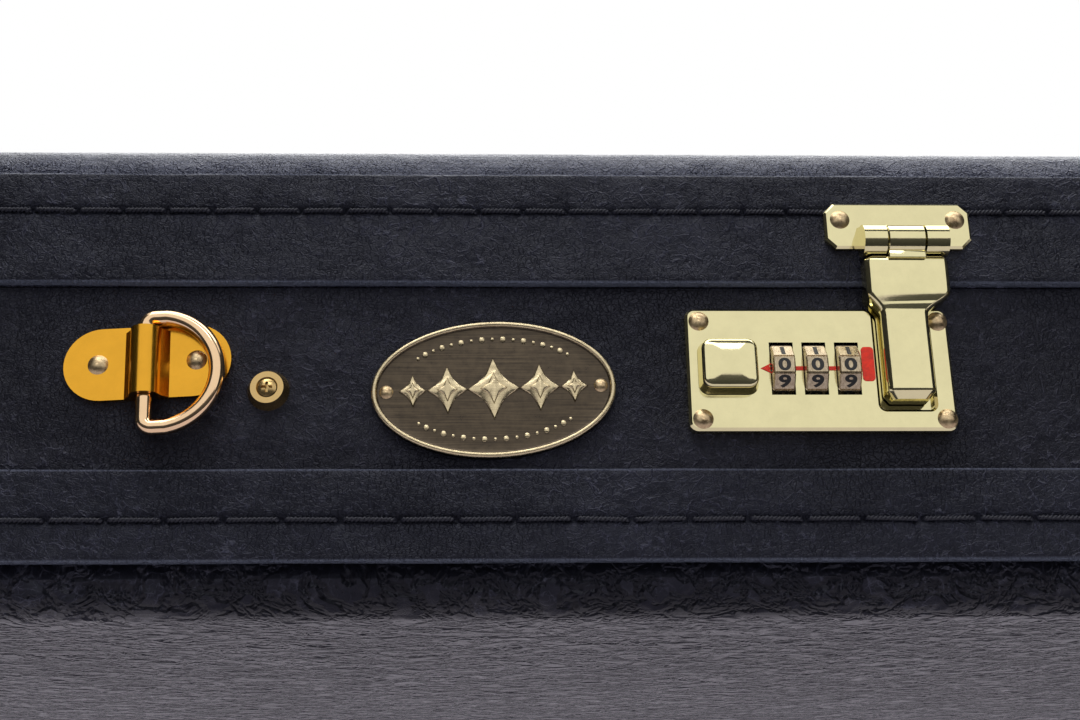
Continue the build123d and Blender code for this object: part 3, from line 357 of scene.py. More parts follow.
def finish(name):
    """One of the case's finishes, made the first time it is asked for."""
    colours = bpy.context.scene.case_finishes
    covering, band = tuple(colours.covering), tuple(colours.band)
    # Painted light: the lid's covering is the same leatherette painted 1.6 times lighter, for its brightly
    # lit top edge.
    pale = shade(1.6, covering)
    makers = {
        "leatherette": lambda: leatherette("Base covering", covering, 1.8, 0.4, 0.22, TINTS["base"]),
        "lid_covering": lambda: leatherette("Lid covering", pale, 2.6, 0.26, 0.62, TINTS["lid"]),
        "band_leatherette": lambda: leatherette(
            "Sewn band", band, 1.9, 0.38, 0.25, TINTS["band"], BAND_EDGES
        ),
        "handle_leather": lambda: leatherette("Handle leather", band, 0.8, 0.42, 0.3, TINTS["handle"]),
        "plywood": lambda: plywood("Laminated wood"),
        "plush": lambda: plush("Plush", tuple(colours.plush)),
        "foot_rubber": lambda: rubber("Foot rubber"),
        "bright_brass": lambda: polished("Lacquered brass", tuple(colours.brass)),
        "rivet_brass": lambda: aged("Aged rivets", (0.68, 0.53, 0.31), (0.36, 0.25, 0.14), 0.3, (1, 1, 1)),
        "yellow_brass": lambda: polished("Yellow brass", (0.76, 0.38, 0.035), 0.2, 1.2, 0.9),
        "pale_brass": lambda: polished("Pale brass", (0.58, 0.4, 0.17), 0.24, 0.8, 0.9),
        "rose_brass": lambda: polished("Rosy wire", (0.86, 0.6, 0.36), 0.1, 0.3, 0.5),
        "aged_bronze": lambda: aged(
            "Badge field", (0.11, 0.085, 0.058), (0.045, 0.036, 0.028), 0.34, (0.05, 1, 3.5)
        ),
        "badge_relief": lambda: aged(
            "Badge relief", (0.74, 0.62, 0.39), (0.42, 0.34, 0.21), 0.24, (0.15, 1, 5)
        ),
        "wheel_brass": lambda: aged("Code wheels", (0.62, 0.52, 0.36), (0.3, 0.23, 0.15), 0.26, (3, 1, 1)),
        "plain_steel": lambda: polished("Plain steel", (0.52, 0.52, 0.53), 0.3, 1.0, 0.4),
        "red_enamel": lambda: enamel("Red paint", tuple(colours.mark)),
        "black_enamel": lambda: enamel("Black numbers", (0.006, 0.006, 0.006), 0.45),
        "thread": lambda: twine("Waxed thread"),
    }
    if name not in FINISHES:
        FINISHES[name] = makers[name]()
    return FINISHES[name]


def placed(name, data):
    """A new object in the scene."""
    made = bpy.data.objects.new(name, data)
    bpy.context.scene.collection.objects.link(made)
    return made


def circle(sides):
    """The angles of evenly spaced points round a circle."""
    return [2 * math.pi * index / sides for index in range(sides)]


def piece(name, points, faces, look, body, replaced=(), sharp=40):
    """A mesh piece in place, shaded smooth but for its sharp edges, on its body."""
    mesh = bpy.data.meshes.new(name)
    mesh.from_pydata([tuple(point) for point in points], [], faces)
    mesh.validate()
    mesh.polygons.foreach_set("use_smooth", [True] * len(mesh.polygons))
    mesh.set_sharp_from_angle(angle=math.radians(sharp))
    made = placed(name, mesh)
    mesh.materials.append(finish(look))
    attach(made, body)
    if replaced:
        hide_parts(*replaced)
    return made


def bridge(rings, capped=True):
    """Faces between closed rings of points that follow each other."""
    count = len(rings[0])
    points = [point for ring in rings for point in ring]
    faces = []
    for row in range(len(rings) - 1):
        low, high = row * count, (row + 1) * count
        for step in range(count):
            after = (step + 1) % count
            faces.append((low + step, low + after, high + after, high + step))
    if capped:
        faces.append(tuple(reversed(range(count))))
        faces.append(tuple(range((len(rings) - 1) * count, len(rings) * count)))
    return points, faces


def merged(parts):
    """Several (points, faces) in one."""
    points, faces = [], []
    for part_points, part_faces in parts:
        start = len(points)
        points.extend(part_points)
        faces.extend(tuple(start + index for index in face) for face in part_faces)
    return points, faces


def outline(step):
    """(place, way out, distance) along the rounded plan, from the latch side's left corner."""
    spots = []
    straight_x = 2 * (HALF_LENGTH - CORNER)
    straight_y = 2 * (HALF_WIDTH - CORNER)
    turn = math.pi / 2 * CORNER
    along = 0.0
    for side, length in enumerate((straight_x, straight_y, straight_x, straight_y)):
        out = Vector((math.sin(side * math.pi / 2), -math.cos(side * math.pi / 2), 0))
        way = Vector((-out.y, out.x, 0))
        reach = HALF_WIDTH if side % 2 == 0 else HALF_LENGTH
        start = Vector((0, MIDDLE_Y, 0)) + out * reach - way * (length / 2)
        count = round(length / step)
        for index in range(count):
            share = index / count
            spots.append((start + way * (length * share), out, along + length * share))
        centre = start + way * length - out * CORNER
        count = max(round(turn / step), 12)
        for index in range(count):
            angle = math.pi / 2 * index / count
            bent = out * math.cos(angle) + way * math.sin(angle)
            spots.append((centre + bent * CORNER, bent, along + length + turn * index / count))
        along += length + turn
    return spots, along


def on_outline(spots, total, distance):
    """Place and way out at a distance along the plan."""
    distance %= total
    low, high = 0, len(spots)
    while high - low > 1:
        middle = (low + high) // 2
        if spots[middle][2] <= distance:
            low = middle
        else:
            high = middle
    after = spots[(low + 1) % len(spots)]
    end = after[2] if low + 1 < len(spots) else total
    share = (distance - spots[low][2]) / (end - spots[low][2])
    return spots[low][0].lerp(after[0], share), spots[low][1].lerp(after[1], share).normalized()


def around(profile, step):
    """A ring round the case: profile(distance) gives (way out, height) points, closed."""
    rings = []
    for place, out, distance in outline(step)[0]:
        rings.append([place + out * reach + Vector((0, 0, height)) for reach, height in profile(distance)])
    count = len(rings[0])
    points, faces = bridge(rings + [rings[0]], capped=False)
    wrap = len(rings) * count
    return points[:wrap], [tuple(index % wrap for index in face) for face in faces]


def stitch_holes(total, pitch, through):
    """Distances of the holes, evenly spaced round the case, with one at a given X on the latch side."""
    count = round(total / pitch)
    pitch = total / count
    start = (through + HALF_LENGTH - CORNER) % pitch
    return [start + index * pitch for index in range(count)], pitch


STITCHING = {
    "base": {"node": "base_band", "height": 28.84, "pitch": 12.08, "through": -173.6},
    "lid": {"node": "lid_band", "height": 99.44, "pitch": 9.9, "through": -183.9},
}


COLOUR = {"subtype": "COLOR", "size": 3, "min": 0, "max": 1}


class CASE_PG_sizes(bpy.types.PropertyGroup):
    """Sizes of the sewing and of the small modelled parts"""

    thread: FloatProperty(name="Thread", description="Radius of one strand", default=0.36 * MM, unit="LENGTH")
    groove: FloatProperty(
        name="Groove", description="How far the thread pulls the band in", default=0.5 * MM, unit="LENGTH"
    )
    hole: FloatProperty(
        name="Hole", description="Extra depth at each needle hole", default=0.75 * MM, unit="LENGTH"
    )
    band_edge: FloatProperty(
        name="Band edge", description="Radius of the bands' edges", default=0.8 * MM, unit="LENGTH"
    )
    hasp_bevel: FloatProperty(
        name="Hasp bevel", description="Width of the bevel on the hasps", default=1.0 * MM, unit="LENGTH"
    )
    pile: FloatProperty(name="Pile", description="Unevenness of the plush", default=0.5 * MM, unit="LENGTH")


class CASE_PG_finishes(bpy.types.PropertyGroup):
    """Colours of the case's finishes"""

    covering: FloatVectorProperty(
        name="Covering", description="Artificial leather", default=(0.0048, 0.0049, 0.0088), **COLOUR
    )
    band: FloatVectorProperty(
        name="Bands", description="Sewn bands and handle", default=(0.0052, 0.0055, 0.0102), **COLOUR
    )
    brass: FloatVectorProperty(
        name="Brass", description="Latches and hinges", default=(0.75, 0.68, 0.39), **COLOUR
    )
    mark: FloatVectorProperty(
        name="Mark", description="Index paint", default=(0.86, 0.03, 0.008), **COLOUR
    )
    plush: FloatVectorProperty(
        name="Plush", description="Pile of the inside", default=(0.13, 0.012, 0.024), **COLOUR
    )


class CASE_PG_stage(bpy.types.PropertyGroup):
    """Floor, lamps and surroundings"""

    floor: FloatVectorProperty(
        name="Floor", description="Colour of the floor", default=(0.8, 0.8, 0.8), **COLOUR
    )
    floor_mirrored: FloatProperty(
        name="Floor in metal",
        description="Brightness of the floor as glossy things show it",
        default=0.8,
        min=0,
        max=1,
    )
    sky: FloatProperty(
        name="Surroundings", description="Strength of the light from all round", default=0.2, min=0, max=1
    )
    key: FloatProperty(
        name="Front lamp", description="Power of the soft lamp in front", default=7.0, unit="POWER"
    )
    rear: FloatProperty(
        name="Rear lamp", description="Power of the soft lamp above and behind", default=16.0, unit="POWER"
    )
    top: FloatProperty(
        name="Top lamp", description="Power of the soft lamp overhead", default=15.0, unit="POWER"
    )


class CASE_OT_bands(bpy.types.Operator):
    """Sewn bands with round edges, pulled in at the seam and at each needle hole"""

    bl_idname = "case.bands"
    bl_label = "Bands"

    def execute(self, context):
        sizes = context.scene.case_sizes
        for body, seam in STITCHING.items():
            low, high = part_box(seam["node"])
            proud = LATCH_SIDE - low.y
            total = outline(2 * MM)[1]
            holes, pitch = stitch_holes(total, seam["pitch"] * MM, seam["through"] * MM)
            line = seam["height"] * MM
            edge = sizes.band_edge
            rows = [(0.0, low.z), (proud - edge, low.z)]
            rows += [(proud - edge * 0.3, low.z + edge * 0.3), (proud, low.z + edge)]
            inner = [low.z + edge + 1.2 * MM, line, high.z - edge - 1.2 * MM]
            for aside in (0.25, 0.6, 1.0, 1.5, 2.6, 5):
                inner += [line - aside * MM, line + aside * MM]
            rows += [(proud, height) for height in sorted(inner) if low.z + edge < height < high.z - edge]
            rows += [(proud, high.z - edge), (proud - edge * 0.3, high.z - edge * 0.3)]
            rows += [(proud - edge, high.z), (0.0, high.z)]

            unevenness, drift_size, tug_depth = 0.16 * MM, 0.2 * MM, 0.22 * MM

            def profile(distance):
                near = (distance - holes[0] + pitch / 2) % pitch - pitch / 2
                made = []
                for reach, height in rows:
                    if reach >= proud:
                        aside = (height - line) / MM
                        pulled = sizes.groove * math.exp(-(aside**2))
                        pit = math.exp(-((near / (0.9 * MM)) ** 2) - (aside / 0.85) ** 2)
                        tug = math.exp(-((near / (2.6 * MM)) ** 2) - (aside / 2.8) ** 2)
                        wave = noise.noise(Vector((distance * 55, height * 160, 3.0))) * unevenness
                        reach += wave - pulled - sizes.hole * pit - tug_depth * tug
                    drift = noise.noise(Vector((distance * 30, height * 20, 9.0))) * drift_size
                    made.append((reach, height + drift))
                return made

            points, faces = around(profile, 1.0 * MM)
            piece(f"{body}_sewn_band", points, faces, "band_leatherette", body, [seam["node"]])
        return {"FINISHED"}


def turned(out, angle):
    """The way out, turned up by an angle."""
    return out * math.cos(angle) + Vector((0, 0, math.sin(angle)))


class CASE_OT_stitching(bpy.types.Operator):
    """Twisted thread all round both bands, one stitch from hole to hole"""

    bl_idname = "case.stitching"
    bl_label = "Stitching"

    def execute(self, context):
        sizes = context.scene.case_sizes
        stations = 22
        one_twist = 1.9 * MM
        sink_at_hole, stand_out = 1.1 * MM, 0.42 * MM
        random.seed(11)
        spots, total = outline(2 * MM)
        for body, seam in STITCHING.items():
            proud = LATCH_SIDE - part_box(seam["node"])[0].y
            holes, pitch = stitch_holes(total, seam["pitch"] * MM, seam["through"] * MM)
            parts = []
            for hole in holes:
                slant = random.uniform(-0.16, 0.1) * MM
                phase = random.uniform(0, 2 * math.pi)
                for strand in (0, math.pi):
                    rings = []
                    for index in range(stations + 1):
                        share = index / stations
                        distance = hole + (0.035 + 0.93 * share) * pitch
                        ends = min(share, 1 - share) / 0.09
                        sunk = -sink_at_hole * max(0.0, 1 - ends) ** 2
                        place, out = on_outline(spots, total, distance)
                        turn = phase + strand + share * pitch / one_twist * 2 * math.pi
                        centre = place + out * (proud - sizes.groove + stand_out + sunk)
                        centre += Vector((0, 0, seam["height"] * MM + slant * (2 * share - 1)))
                        centre += turned(out, turn) * sizes.thread * 0.78
                        rings.append([centre + turned(out, angle) * sizes.thread for angle in circle(6)])
                    parts.append(bridge(rings))
            points, faces = merged(parts)
            piece(f"{body}_thread", points, faces, "thread", body, sharp=80)
        return {"FINISHED"}


def section(width, low, high, bevel, centre=0.0):
    """A rectangle from low to high (way out), with bevelled outer corners."""
    half = width / 2
    bevel = min(bevel, half * 0.9, (high - low) * 0.9)
    soft = bevel * 0.16
    return [
        (centre - half, low),
        (centre + half, low),
        (centre + half, high - bevel - soft),
        (centre + half - soft * 0.5, high - bevel + soft * 0.4),
        (centre + half - bevel + soft * 0.4, high - soft * 0.5),
        (centre + half - bevel - soft, high),
        (centre - half + bevel + soft, high),
        (centre - half + bevel - soft * 0.4, high - soft * 0.5),
        (centre - half + soft * 0.5, high - bevel + soft * 0.4),
        (centre - half, high - bevel - soft),
    ]


def smooth_between(stops, height):
    """A value that runs smoothly through (height, value) stops, highest first."""
    for (top, first), (bottom, second) in zip(stops, stops[1:]):
        if top >= height >= bottom:
            share = (top - height) / (top - bottom)
            share = share * share * (3 - 2 * share)
            return first + (second - first) * share
    return stops[0][1] if height > stops[0][0] else stops[-1][1]


def drum(centre, half, radius, bevel, sides=48):
    """A cylinder along X with bevelled ends."""
    rings = []
    inner = radius - bevel
    for along, reach in ((-half, inner), (-half + bevel, radius), (half - bevel, radius), (half, inner)):
        ring = [Vector((along, math.cos(angle) * reach, math.sin(angle) * reach)) for angle in circle(sides)]
        rings.append([centre + point for point in ring])
    return bridge(rings)


def standing(shape, middle, height):
    """A section's points at a height on the latch side."""
    return [Vector((middle + x, LATCH_SIDE - out, height)) for x, out in shape]


class CASE_OT_hasps(bpy.types.Operator):
    """Hasps: knuckle, wide head, drawn-in shoulders and a bevelled arm"""

    bl_idname = "case.hasps"
    bl_label = "Hasps"

    def execute(self, context):
        bevel = context.scene.case_sizes.hasp_bevel
        for latch in LATCHES:
            low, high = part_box(f"hasp_{latch}")
            middle = (low.x + high.x) / 2
            axis = Vector((middle, LATCH_SIDE - HASP_AXIS_OUT, HASP_AXIS_HEIGHT))
            head = 18.4 * MM
            arm = 10.3 * MM
            widths = [(-3.6, head), (-12.0, head), (-17.0, arm), (-40.0, arm)]
            shifts = [(-3.6, 0.0), (-12.0, 0.0), (-17.0, -1.3 * MM), (-40.0, -1.3 * MM)]
            fronts = [(-3.6, 7.9 * MM), (-5.0, 7.8 * MM), (-21.0, 7.0 * MM), (-40.0, 7.0 * MM)]
            backs = [(-3.6, 3.3 * MM), (-10.0, 3.3 * MM), (-12.5, 1.6 * MM), (-40.0, 1.6 * MM)]
            rings = []
            steps = 66
            top, tip = 3.9, 36.2
            shoulder, dent = 16.4, 0.14 * MM
            for index in range(steps + 1):
                height = -top - (tip - top) * index / steps
                left = tip + height
                pinch = max(0.0, 1.6 - left)
                start = max(0.0, 0.7 - (-height - top))
                width = smooth_between(widths, height) - 2 * (pinch + start) * 0.8 * MM
                front = smooth_between(fronts, height) - (pinch + start * 0.8) * MM
                front -= dent * math.exp(-(((height + shoulder) / 0.4) ** 2))
                shift = smooth_between(shifts, height)
                shape = section(width, smooth_between(backs, height), front, bevel, shift)
                rings.append(standing(shape, middle, axis.z + height * MM))
            knuckle_half, knuckle_radius, knuckle_bevel = 4.1 * MM, 3.55 * MM, 0.25 * MM
            parts = [bridge(rings), drum(axis, knuckle_half, knuckle_radius, knuckle_bevel)]
            web = []
            web_back = 3.6 * MM
            for height, reach in ((-4.6, 8.6), (-3.2, 8.6), (-1.0, 7.4)):
                shape = section(2 * knuckle_half, web_back, reach * MM, 0.2 * MM)
                web.append(standing(shape, middle, axis.z + height * MM))
            parts.append(bridge(web))
            points, faces = merged(parts)
            piece(
                f"cast_hasp_{latch}",
                points,
                faces,
                "bright_brass",
                f"hasp_{latch}",
                [f"hasp_{latch}"],
                sharp=32,
            )
        return {"FINISHED"}


def rounded_rectangle(width, height, radius, corners=6):
    """Points of a rectangle with round corners, anticlockwise."""
    made = []
    for x, y, start in ((1, 1, 0), (-1, 1, 90), (-1, -1, 180), (1, -1, 270)):
        for index in range(corners + 1):
            angle = math.radians(start + 90 * index / corners)
            round_x, round_y = radius * math.cos(angle), radius * math.sin(angle)
            made.append((x * (width / 2 - radius) + round_x, y * (height / 2 - radius) + round_y))
    return made


class CASE_OT_buttons(bpy.types.Operator):
    """Pillow-faced buttons with a flared foot"""

    bl_idname = "case.buttons"
    bl_label = "Buttons"

    def execute(self, context):
        for latch in LATCHES:
            low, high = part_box(f"button_{latch}")
            centre = (low + high) / 2
            middle = Vector((centre.x, LATCH_SIDE, LOCK_HEIGHT))
            foot = [(3.15, 12.9, 12.0, 2.3), (3.5, 12.8, 11.9, 2.3), (4.6, 12.3, 11.4, 2.2)]
            side = [(6.2, 12.0, 11.1, 2.1), (6.7, 11.8, 10.9, 2.1), (7.1, 11.3, 10.4, 2.0)]
            pillow = [(7.3, 10.6, 9.7, 1.8), (7.55, 9.0, 8.2, 1.6), (7.8, 6.6, 6.0, 1.2)]
            crown = [(7.98, 4.0, 3.6, 0.9), (8.05, 1.6, 1.4, 0.5)]
            rings = []
            for out, width, height, radius in foot + side + pillow + crown:
                shape = rounded_rectangle(width * MM, height * MM, radius * MM)
                rings.append([middle + Vector((x, -out * MM, z)) for x, z in shape])
            points, faces = bridge(rings)
            piece(f"push_button_{latch}", points, faces, "bright_brass", f"button_{latch}", sharp=50)
            stem_side, stem_round = 4.9 * MM, 0.3 * MM
            stem_shape = rounded_rectangle(stem_side, stem_side, stem_round, 2)
            stem = [[middle + Vector((x, -out * MM, z)) for x, z in stem_shape] for out in (1.95, 3.3)]
            points, faces = bridge(stem)
            made = piece(f"button_stem_{latch}", points, faces, "bright_brass", f"button_{latch}")
            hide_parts(f"button_{latch}")
        return {"FINISHED"}


def facing(place, out, up, across):
    """A matrix that stands a drawing up at a place."""
    rows = Matrix((across, up, out)).transposed().to_4x4()
    rows.translation = place
    return rows


def number(text, height, thick):
    """Mesh of one plain number, centred, drawn in X and Y."""
    curve = bpy.data.curves.new("number", "FONT")
    curve.body = text
    curve.size = height
    curve.extrude = thick
    curve.offset = height * 0.034
    curve.align_x = "CENTER"
    curve.align_y = "CENTER"
    made = placed("number", curve)
    bpy.context.view_layer.update()
    mesh = bpy.data.meshes.new_from_object(made)
    points = [vertex.co.copy() for vertex in mesh.vertices]
    faces = [tuple(face.vertices) for face in mesh.polygons]
    bpy.data.objects.remove(made)
    middle_x = (min(point.x for point in points) + max(point.x for point in points)) / 2
    middle_y = (min(point.y for point in points) + max(point.y for point in points)) / 2
    return [point - Vector((middle_x, middle_y, 0)) for point in points], faces


class CASE_OT_wheels(bpy.types.Operator):
    """Ten-sided code wheels with grooves between the faces and thin black numbers"""

    bl_idname = "case.wheels"
    bl_label = "Code wheels"

    def execute(self, context):
        number_height, number_thickness = 3.9 * MM, 0.03 * MM
        wider, lower = 1.38, 0.96
        half_face, groove_depth = 15.6, 0.32
        corners = [(-half_face, 0.0), (half_face, 0.0), (17.0, groove_depth), (19.0, groove_depth)]
        drawings = [number(str(index), number_height, number_thickness) for index in range(10)]
        flat = WHEEL_RADIUS * math.cos(math.pi / 10)
        for wheel in WHEELS:
            low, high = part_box(f"wheel_{wheel}")
            axis = (low + high) / 2
            half = (high.x - low.x) / 2
            rings = []
            face = half - 0.3 * MM
            for along, inset in ((-half, 0.35), (-face, 0.0), (face, 0.0), (half, 0.35)):
                ring = []
                for index in range(10):
                    for turn, reach in corners:
                        angle = math.radians(36 * index + turn)
                        aside = math.radians(min(turn, half_face))
                        edge = flat / math.cos(aside) - (reach + inset) * MM
                        ring.append(axis + Vector((along, -math.cos(angle) * edge, math.sin(angle) * edge)))
                rings.append(ring)
            points, faces = bridge(rings)
            faces = [tuple(reversed(face)) for face in faces]
            piece(
                f"code_wheel_{wheel}",
                points,
                faces,
                "wheel_brass",
                f"wheel_{wheel}",
                [f"wheel_{wheel}"],
                sharp=25,
            )
            parts = []
            for index in range(10):
                angle = math.radians(36 * index)
                out = Vector((0, -math.cos(angle), math.sin(angle)))
                up = Vector((0, math.sin(angle), math.cos(angle)))
                stand = facing(axis + out * flat, out, up, Vector((1, 0, 0)))
                drawn, drawn_faces = drawings[index]
                shaped = [Vector((point.x * wider, point.y * lower, point.z)) for point in drawn]
                parts.append(([stand @ point for point in shaped], drawn_faces))
            points, faces = merged(parts)
            piece(f"numbers_{wheel}", points, faces, "black_enamel", f"wheel_{wheel}")
        return {"FINISHED"}


def relief(shape, low, high, bevel):
    """A raised figure: shape is an outline in X and Y round its own middle."""
    centre = Vector((sum(x for x, _ in shape) / len(shape), sum(y for _, y in shape) / len(shape), 0))
    rings = []
    for out, inset in ((low, 0.0), (high - bevel * 0.6, 0.12 * bevel), (high, bevel)):
        ring = []
        for x, y in shape:
            spoke = Vector((x, y, 0)) - centre
            ring.append(centre + spoke * max(0.0, 1 - inset / max(spoke.length, 1e-9)) + Vector((0, 0, out)))
        rings.append(ring)
    return bridge(rings)


class CASE_OT_badge(bpy.types.Operator):
    """Oval badge: rounded rim, brushed field and plain raised ornament"""

    bl_idname = "case.badge"
    bl_label = "Badge"

    def execute(self, context):
        across = Vector((math.cos(BADGE_TILT), 0, math.sin(BADGE_TILT)))
        up = Vector((-math.sin(BADGE_TILT), 0, math.cos(BADGE_TILT)))
        stand = facing(Vector((BADGE_X, LATCH_SIDE, BADGE_HEIGHT)), Vector((0, -1, 0)), up, across)
        long_half, short_half = 26.2 * MM, 15.35 * MM
        sides = 128

        def oval(out, inset, share=1.0):
            ring = []
            for angle in circle(sides):
                x = (long_half - inset * MM) * math.cos(angle) * share
                y = (short_half - inset * MM) * math.sin(angle) * share
                ring.append(stand @ Vector((x, y, out * MM)))
            return ring

        outside = [(0.0, 0.0), (1.5, 0.0), (1.85, 0.12), (2.05, 0.35), (2.1, 0.6)]
        inside = [(2.05, 0.85), (1.8, 1.08), (1.5, 1.18), (1.42, 1.5)]
        rings = [oval(out, inset) for out, inset in outside + inside]
        rings += [oval(1.42 + 0.1 * (1 - share * share), 1.5, share) for share in (0.9, 0.6, 0.3, 0.04)]
        points, faces = bridge(rings)
        piece("oval_badge", points, faces, "aged_bronze", "base", ["badge"], sharp=60)
        rim = [(1.62, -0.02), (1.88, 0.1), (2.08, 0.34), (2.13, 0.6)]
        rim += [(2.08, 0.86), (1.84, 1.08), (1.62, 1.14)]
        points, faces = bridge([oval(out, inset) for out, inset in rim], capped=False)
        piece("badge_rim", points, faces, "badge_relief", "base", sharp=60)
        parts = []
        lozenges = [(0, 11.4, 14.0), (-9.9, 8.8, 10.8), (9.9, 8.8, 10.8), (-17.3, 6.0, 7.4), (17.3, 6.0, 7.4)]
        hollow, inner_share = 0.24, 0.52
        for x, width, height in lozenges:
            outer = [(x + width / 2, 0), (x, height / 2), (x - width / 2, 0), (x, -height / 2)]
            shape = []
            for (x0, y0), (x1, y1) in zip(outer, outer[1:] + outer[:1]):
                for step in range(8):
                    share = step / 8
                    bow = 1 - hollow * math.sin(math.pi * share)
                    side = x + (x0 + (x1 - x0) * share - x) * bow
                    shape.append((side * MM, (y0 + (y1 - y0) * share) * bow * MM))
            parts.append(relief(shape, 1.3 * MM, 2.0 * MM, 0.45 * MM))
            inner = [(x * MM + (px - x * MM) * inner_share, py * inner_share) for px, py in shape]
            parts.append(relief(inner, 1.9 * MM, 2.35 * MM, 0.4 * MM))
        beads_long_half, beads_short_half = 21.2, 11.3
        beads, bead_turn = 17, 6.2
        for side in (-1, 1):
            for index in range(beads):
                angle = math.radians(90 * side + (index - beads // 2) * bead_turn * -side)
                x = beads_long_half * math.cos(angle)
                y = beads_short_half * math.sin(angle)
                size = 0.62 if index % 2 else 0.38
                bead = []
                for turn in circle(14):
                    bead.append(((x + size * math.cos(turn)) * MM, (y + size * math.sin(turn)) * MM))
                parts.append(relief(bead, 1.3 * MM, 1.78 * MM, 0.22 * MM))
        points, faces = merged(parts)
        raised = [stand @ point for point in points]
        piece("badge_ornament", raised, faces, "badge_relief", "base", sharp=45)
        return {"FINISHED"}


def soft_copy(node, name, voxel, body, relax=6):
    """A padded piece grown from a padding node: rounded edges, slightly uneven pile."""
    pile = bpy.context.scene.case_sizes.pile
    source = frame["nodes"][node]
    made = placed(name, source.data.copy())
    remesh = made.modifiers.new("Remesh", "REMESH")
    remesh.mode = "VOXEL"
    remesh.voxel_size = voxel
    relaxed = made.modifiers.new("Smooth", "SMOOTH")
    relaxed.iterations = relax
    relaxed.factor = 0.5
    bpy.context.view_layer.update()
    ready = made.evaluated_get(bpy.context.evaluated_depsgraph_get())
    mesh = bpy.data.meshes.new_from_object(ready)
    made.modifiers.clear()
    made.data = mesh
    normals = [vertex.normal.copy() for vertex in mesh.vertices]
    for vertex, normal in zip(mesh.vertices, normals):
        vertex.co += normal * noise.noise(vertex.co * 38) * pile
    mesh.polygons.foreach_set("use_smooth", [True] * len(mesh.polygons))
    mesh.materials.clear()
    mesh.materials.append(finish("plush"))
    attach(made, body)
    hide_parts(node)


def lining_ring(name, node, inset, thick, body):
    """A plush strip round the inside wall, with a softened top edge."""
    low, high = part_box(node)

    def profile(distance):
        made = []
        strip = ((0.0, 0.0), (0.0, 1.0), (0.3, 1.0), (0.7, 1.0), (1.0, 1.0), (1.0, 0.5), (1.0, 0.0))
        for out, height in strip:
            soft = noise.noise(Vector((distance * 24, height * 3, out))) * 0.15 * MM
            round_off = 0.25 * thick if out in (0.0, 1.0) and height == 1.0 else 0.0
            reach = -inset - thick * out + (soft if out else 0)
            made.append((reach, low.z + (high.z - low.z) * height - round_off))
        return made

    points, faces = around(profile, 4 * MM)
    faces = [tuple(reversed(face)) for face in faces]
    made = piece(name, points, faces, "plush", body, [node], sharp=70)


class CASE_OT_padding(bpy.types.Operator):
    """Plush-covered padding of both halves"""

    bl_idname = "case.padding"
    bl_label = "Padding"

    def execute(self, context):
        soft_copy("floor_pad", "plush_floor", 4.5 * MM, "base")
        soft_copy("body_block", "plush_body_block", 3 * MM, "base")
        soft_copy("head_block", "plush_head_block", 3 * MM, "base")
        soft_copy("neck_saddle", "plush_saddle", 1.6 * MM, "base", 4)
        soft_copy("neck_partition", "plush_partition", 2.6 * MM, "base", 4)
        soft_copy("lid_pad", "plush_lid_pad", 4.5 * MM, "lid")
        lining_ring("plush_lip", "valance", 7.7 * MM, 1.5 * MM, "base")
        lining_ring("plush_lid_wall", "lid_wall_lining", 7.2 * MM, 3.0 * MM, "lid")
        return {"FINISHED"}


class CASE_OT_grip(bpy.types.Operator):
    """Sewn leather grip with a raised seam and its stitches"""

    bl_idname = "case.grip"
    bl_label = "Grip"

    def execute(self, context):
        low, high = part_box("handle_grip")
        centre = (low + high) / 2
        half = (high - low) / 2

        def on_grip(share, reach, angle):
            around_it = (half.y * reach * math.cos(angle), half.z * reach * math.sin(angle))
            return centre + Vector((half.x * share, *around_it))

        def swelling(share):
            return 0.62 + 0.38 * math.cos(share * math.pi / 2) ** 0.8

        rings = []
        steps = 90
        seam_angle = 1.5 * math.pi
        for index in range(steps + 1):
            share = -1 + 2 * index / steps
            swell = swelling(share)
            swell *= 1 - 0.35 * max(0.0, abs(share) - 0.965) / 0.035
            ridges = 0.012 * math.cos(share * 26 * math.pi) * (1 - share**2)
            ring = []
            for angle in circle(40):
                seam = math.exp(-(((angle - seam_angle) / 0.16) ** 2)) * 0.05
                reach = 0.97 * swell + ridges * math.sin(angle) ** 2 + seam
                ring.append(on_grip(share, reach, angle))
            rings.append(ring)
        points, faces = bridge(rings)
        faces = [tuple(reversed(face)) for face in faces]
        piece("leather_grip", points, faces, "handle_leather", "handle", ["handle_grip"], sharp=50)
        parts = []
        beside_seam = 0.34
        stitches = 22
        for index in range(stitches):
            share = -0.84 + 1.68 * index / (stitches - 1)
            for side in (-1, 1):
                middle = on_grip(share, swelling(share), seam_angle + side * beside_seam)
                rings = []
                for step in range(7):
                    along = -1 + step / 3
                    lift = 0.35 * MM * (1 - along * along)
                    radius = 0.33 * MM * (1 - 0.5 * along * along)
                    spot = middle + Vector((along * 1.6 * MM, 0, -lift))
                    rings.append([spot + turned(Vector((0, 1, 0)), angle) * radius for angle in circle(8)])
                parts.append(bridge(rings))
        points, faces = merged(parts)
        piece("grip_stitches", points, faces, "thread", "handle", sharp=60)
        return {"FINISHED"}


OWN_FINISH = {
    # The lid's skin takes the lighter copy of the covering, painted light.
    "lid_skin": "lid_covering",
    "cup_washers": "pale_brass",
    "partition_screws": "pale_brass",
    "badge_screws": "rivet_brass",
}


class CASE_OT_finishes(bpy.types.Operator):
    """Finishes of all the pieces that keep their engineering shape"""

    bl_idname = "case.finishes"
    bl_label = "Finishes"

    def execute(self, context):
        for row in frame["record"]["subparts"]:
            target = frame["nodes"][row["node"]]
            target.data.materials.clear()
            target.data.materials.append(finish(OWN_FINISH.get(row["node"], row["material_slot"])))
        return {"FINISHED"}


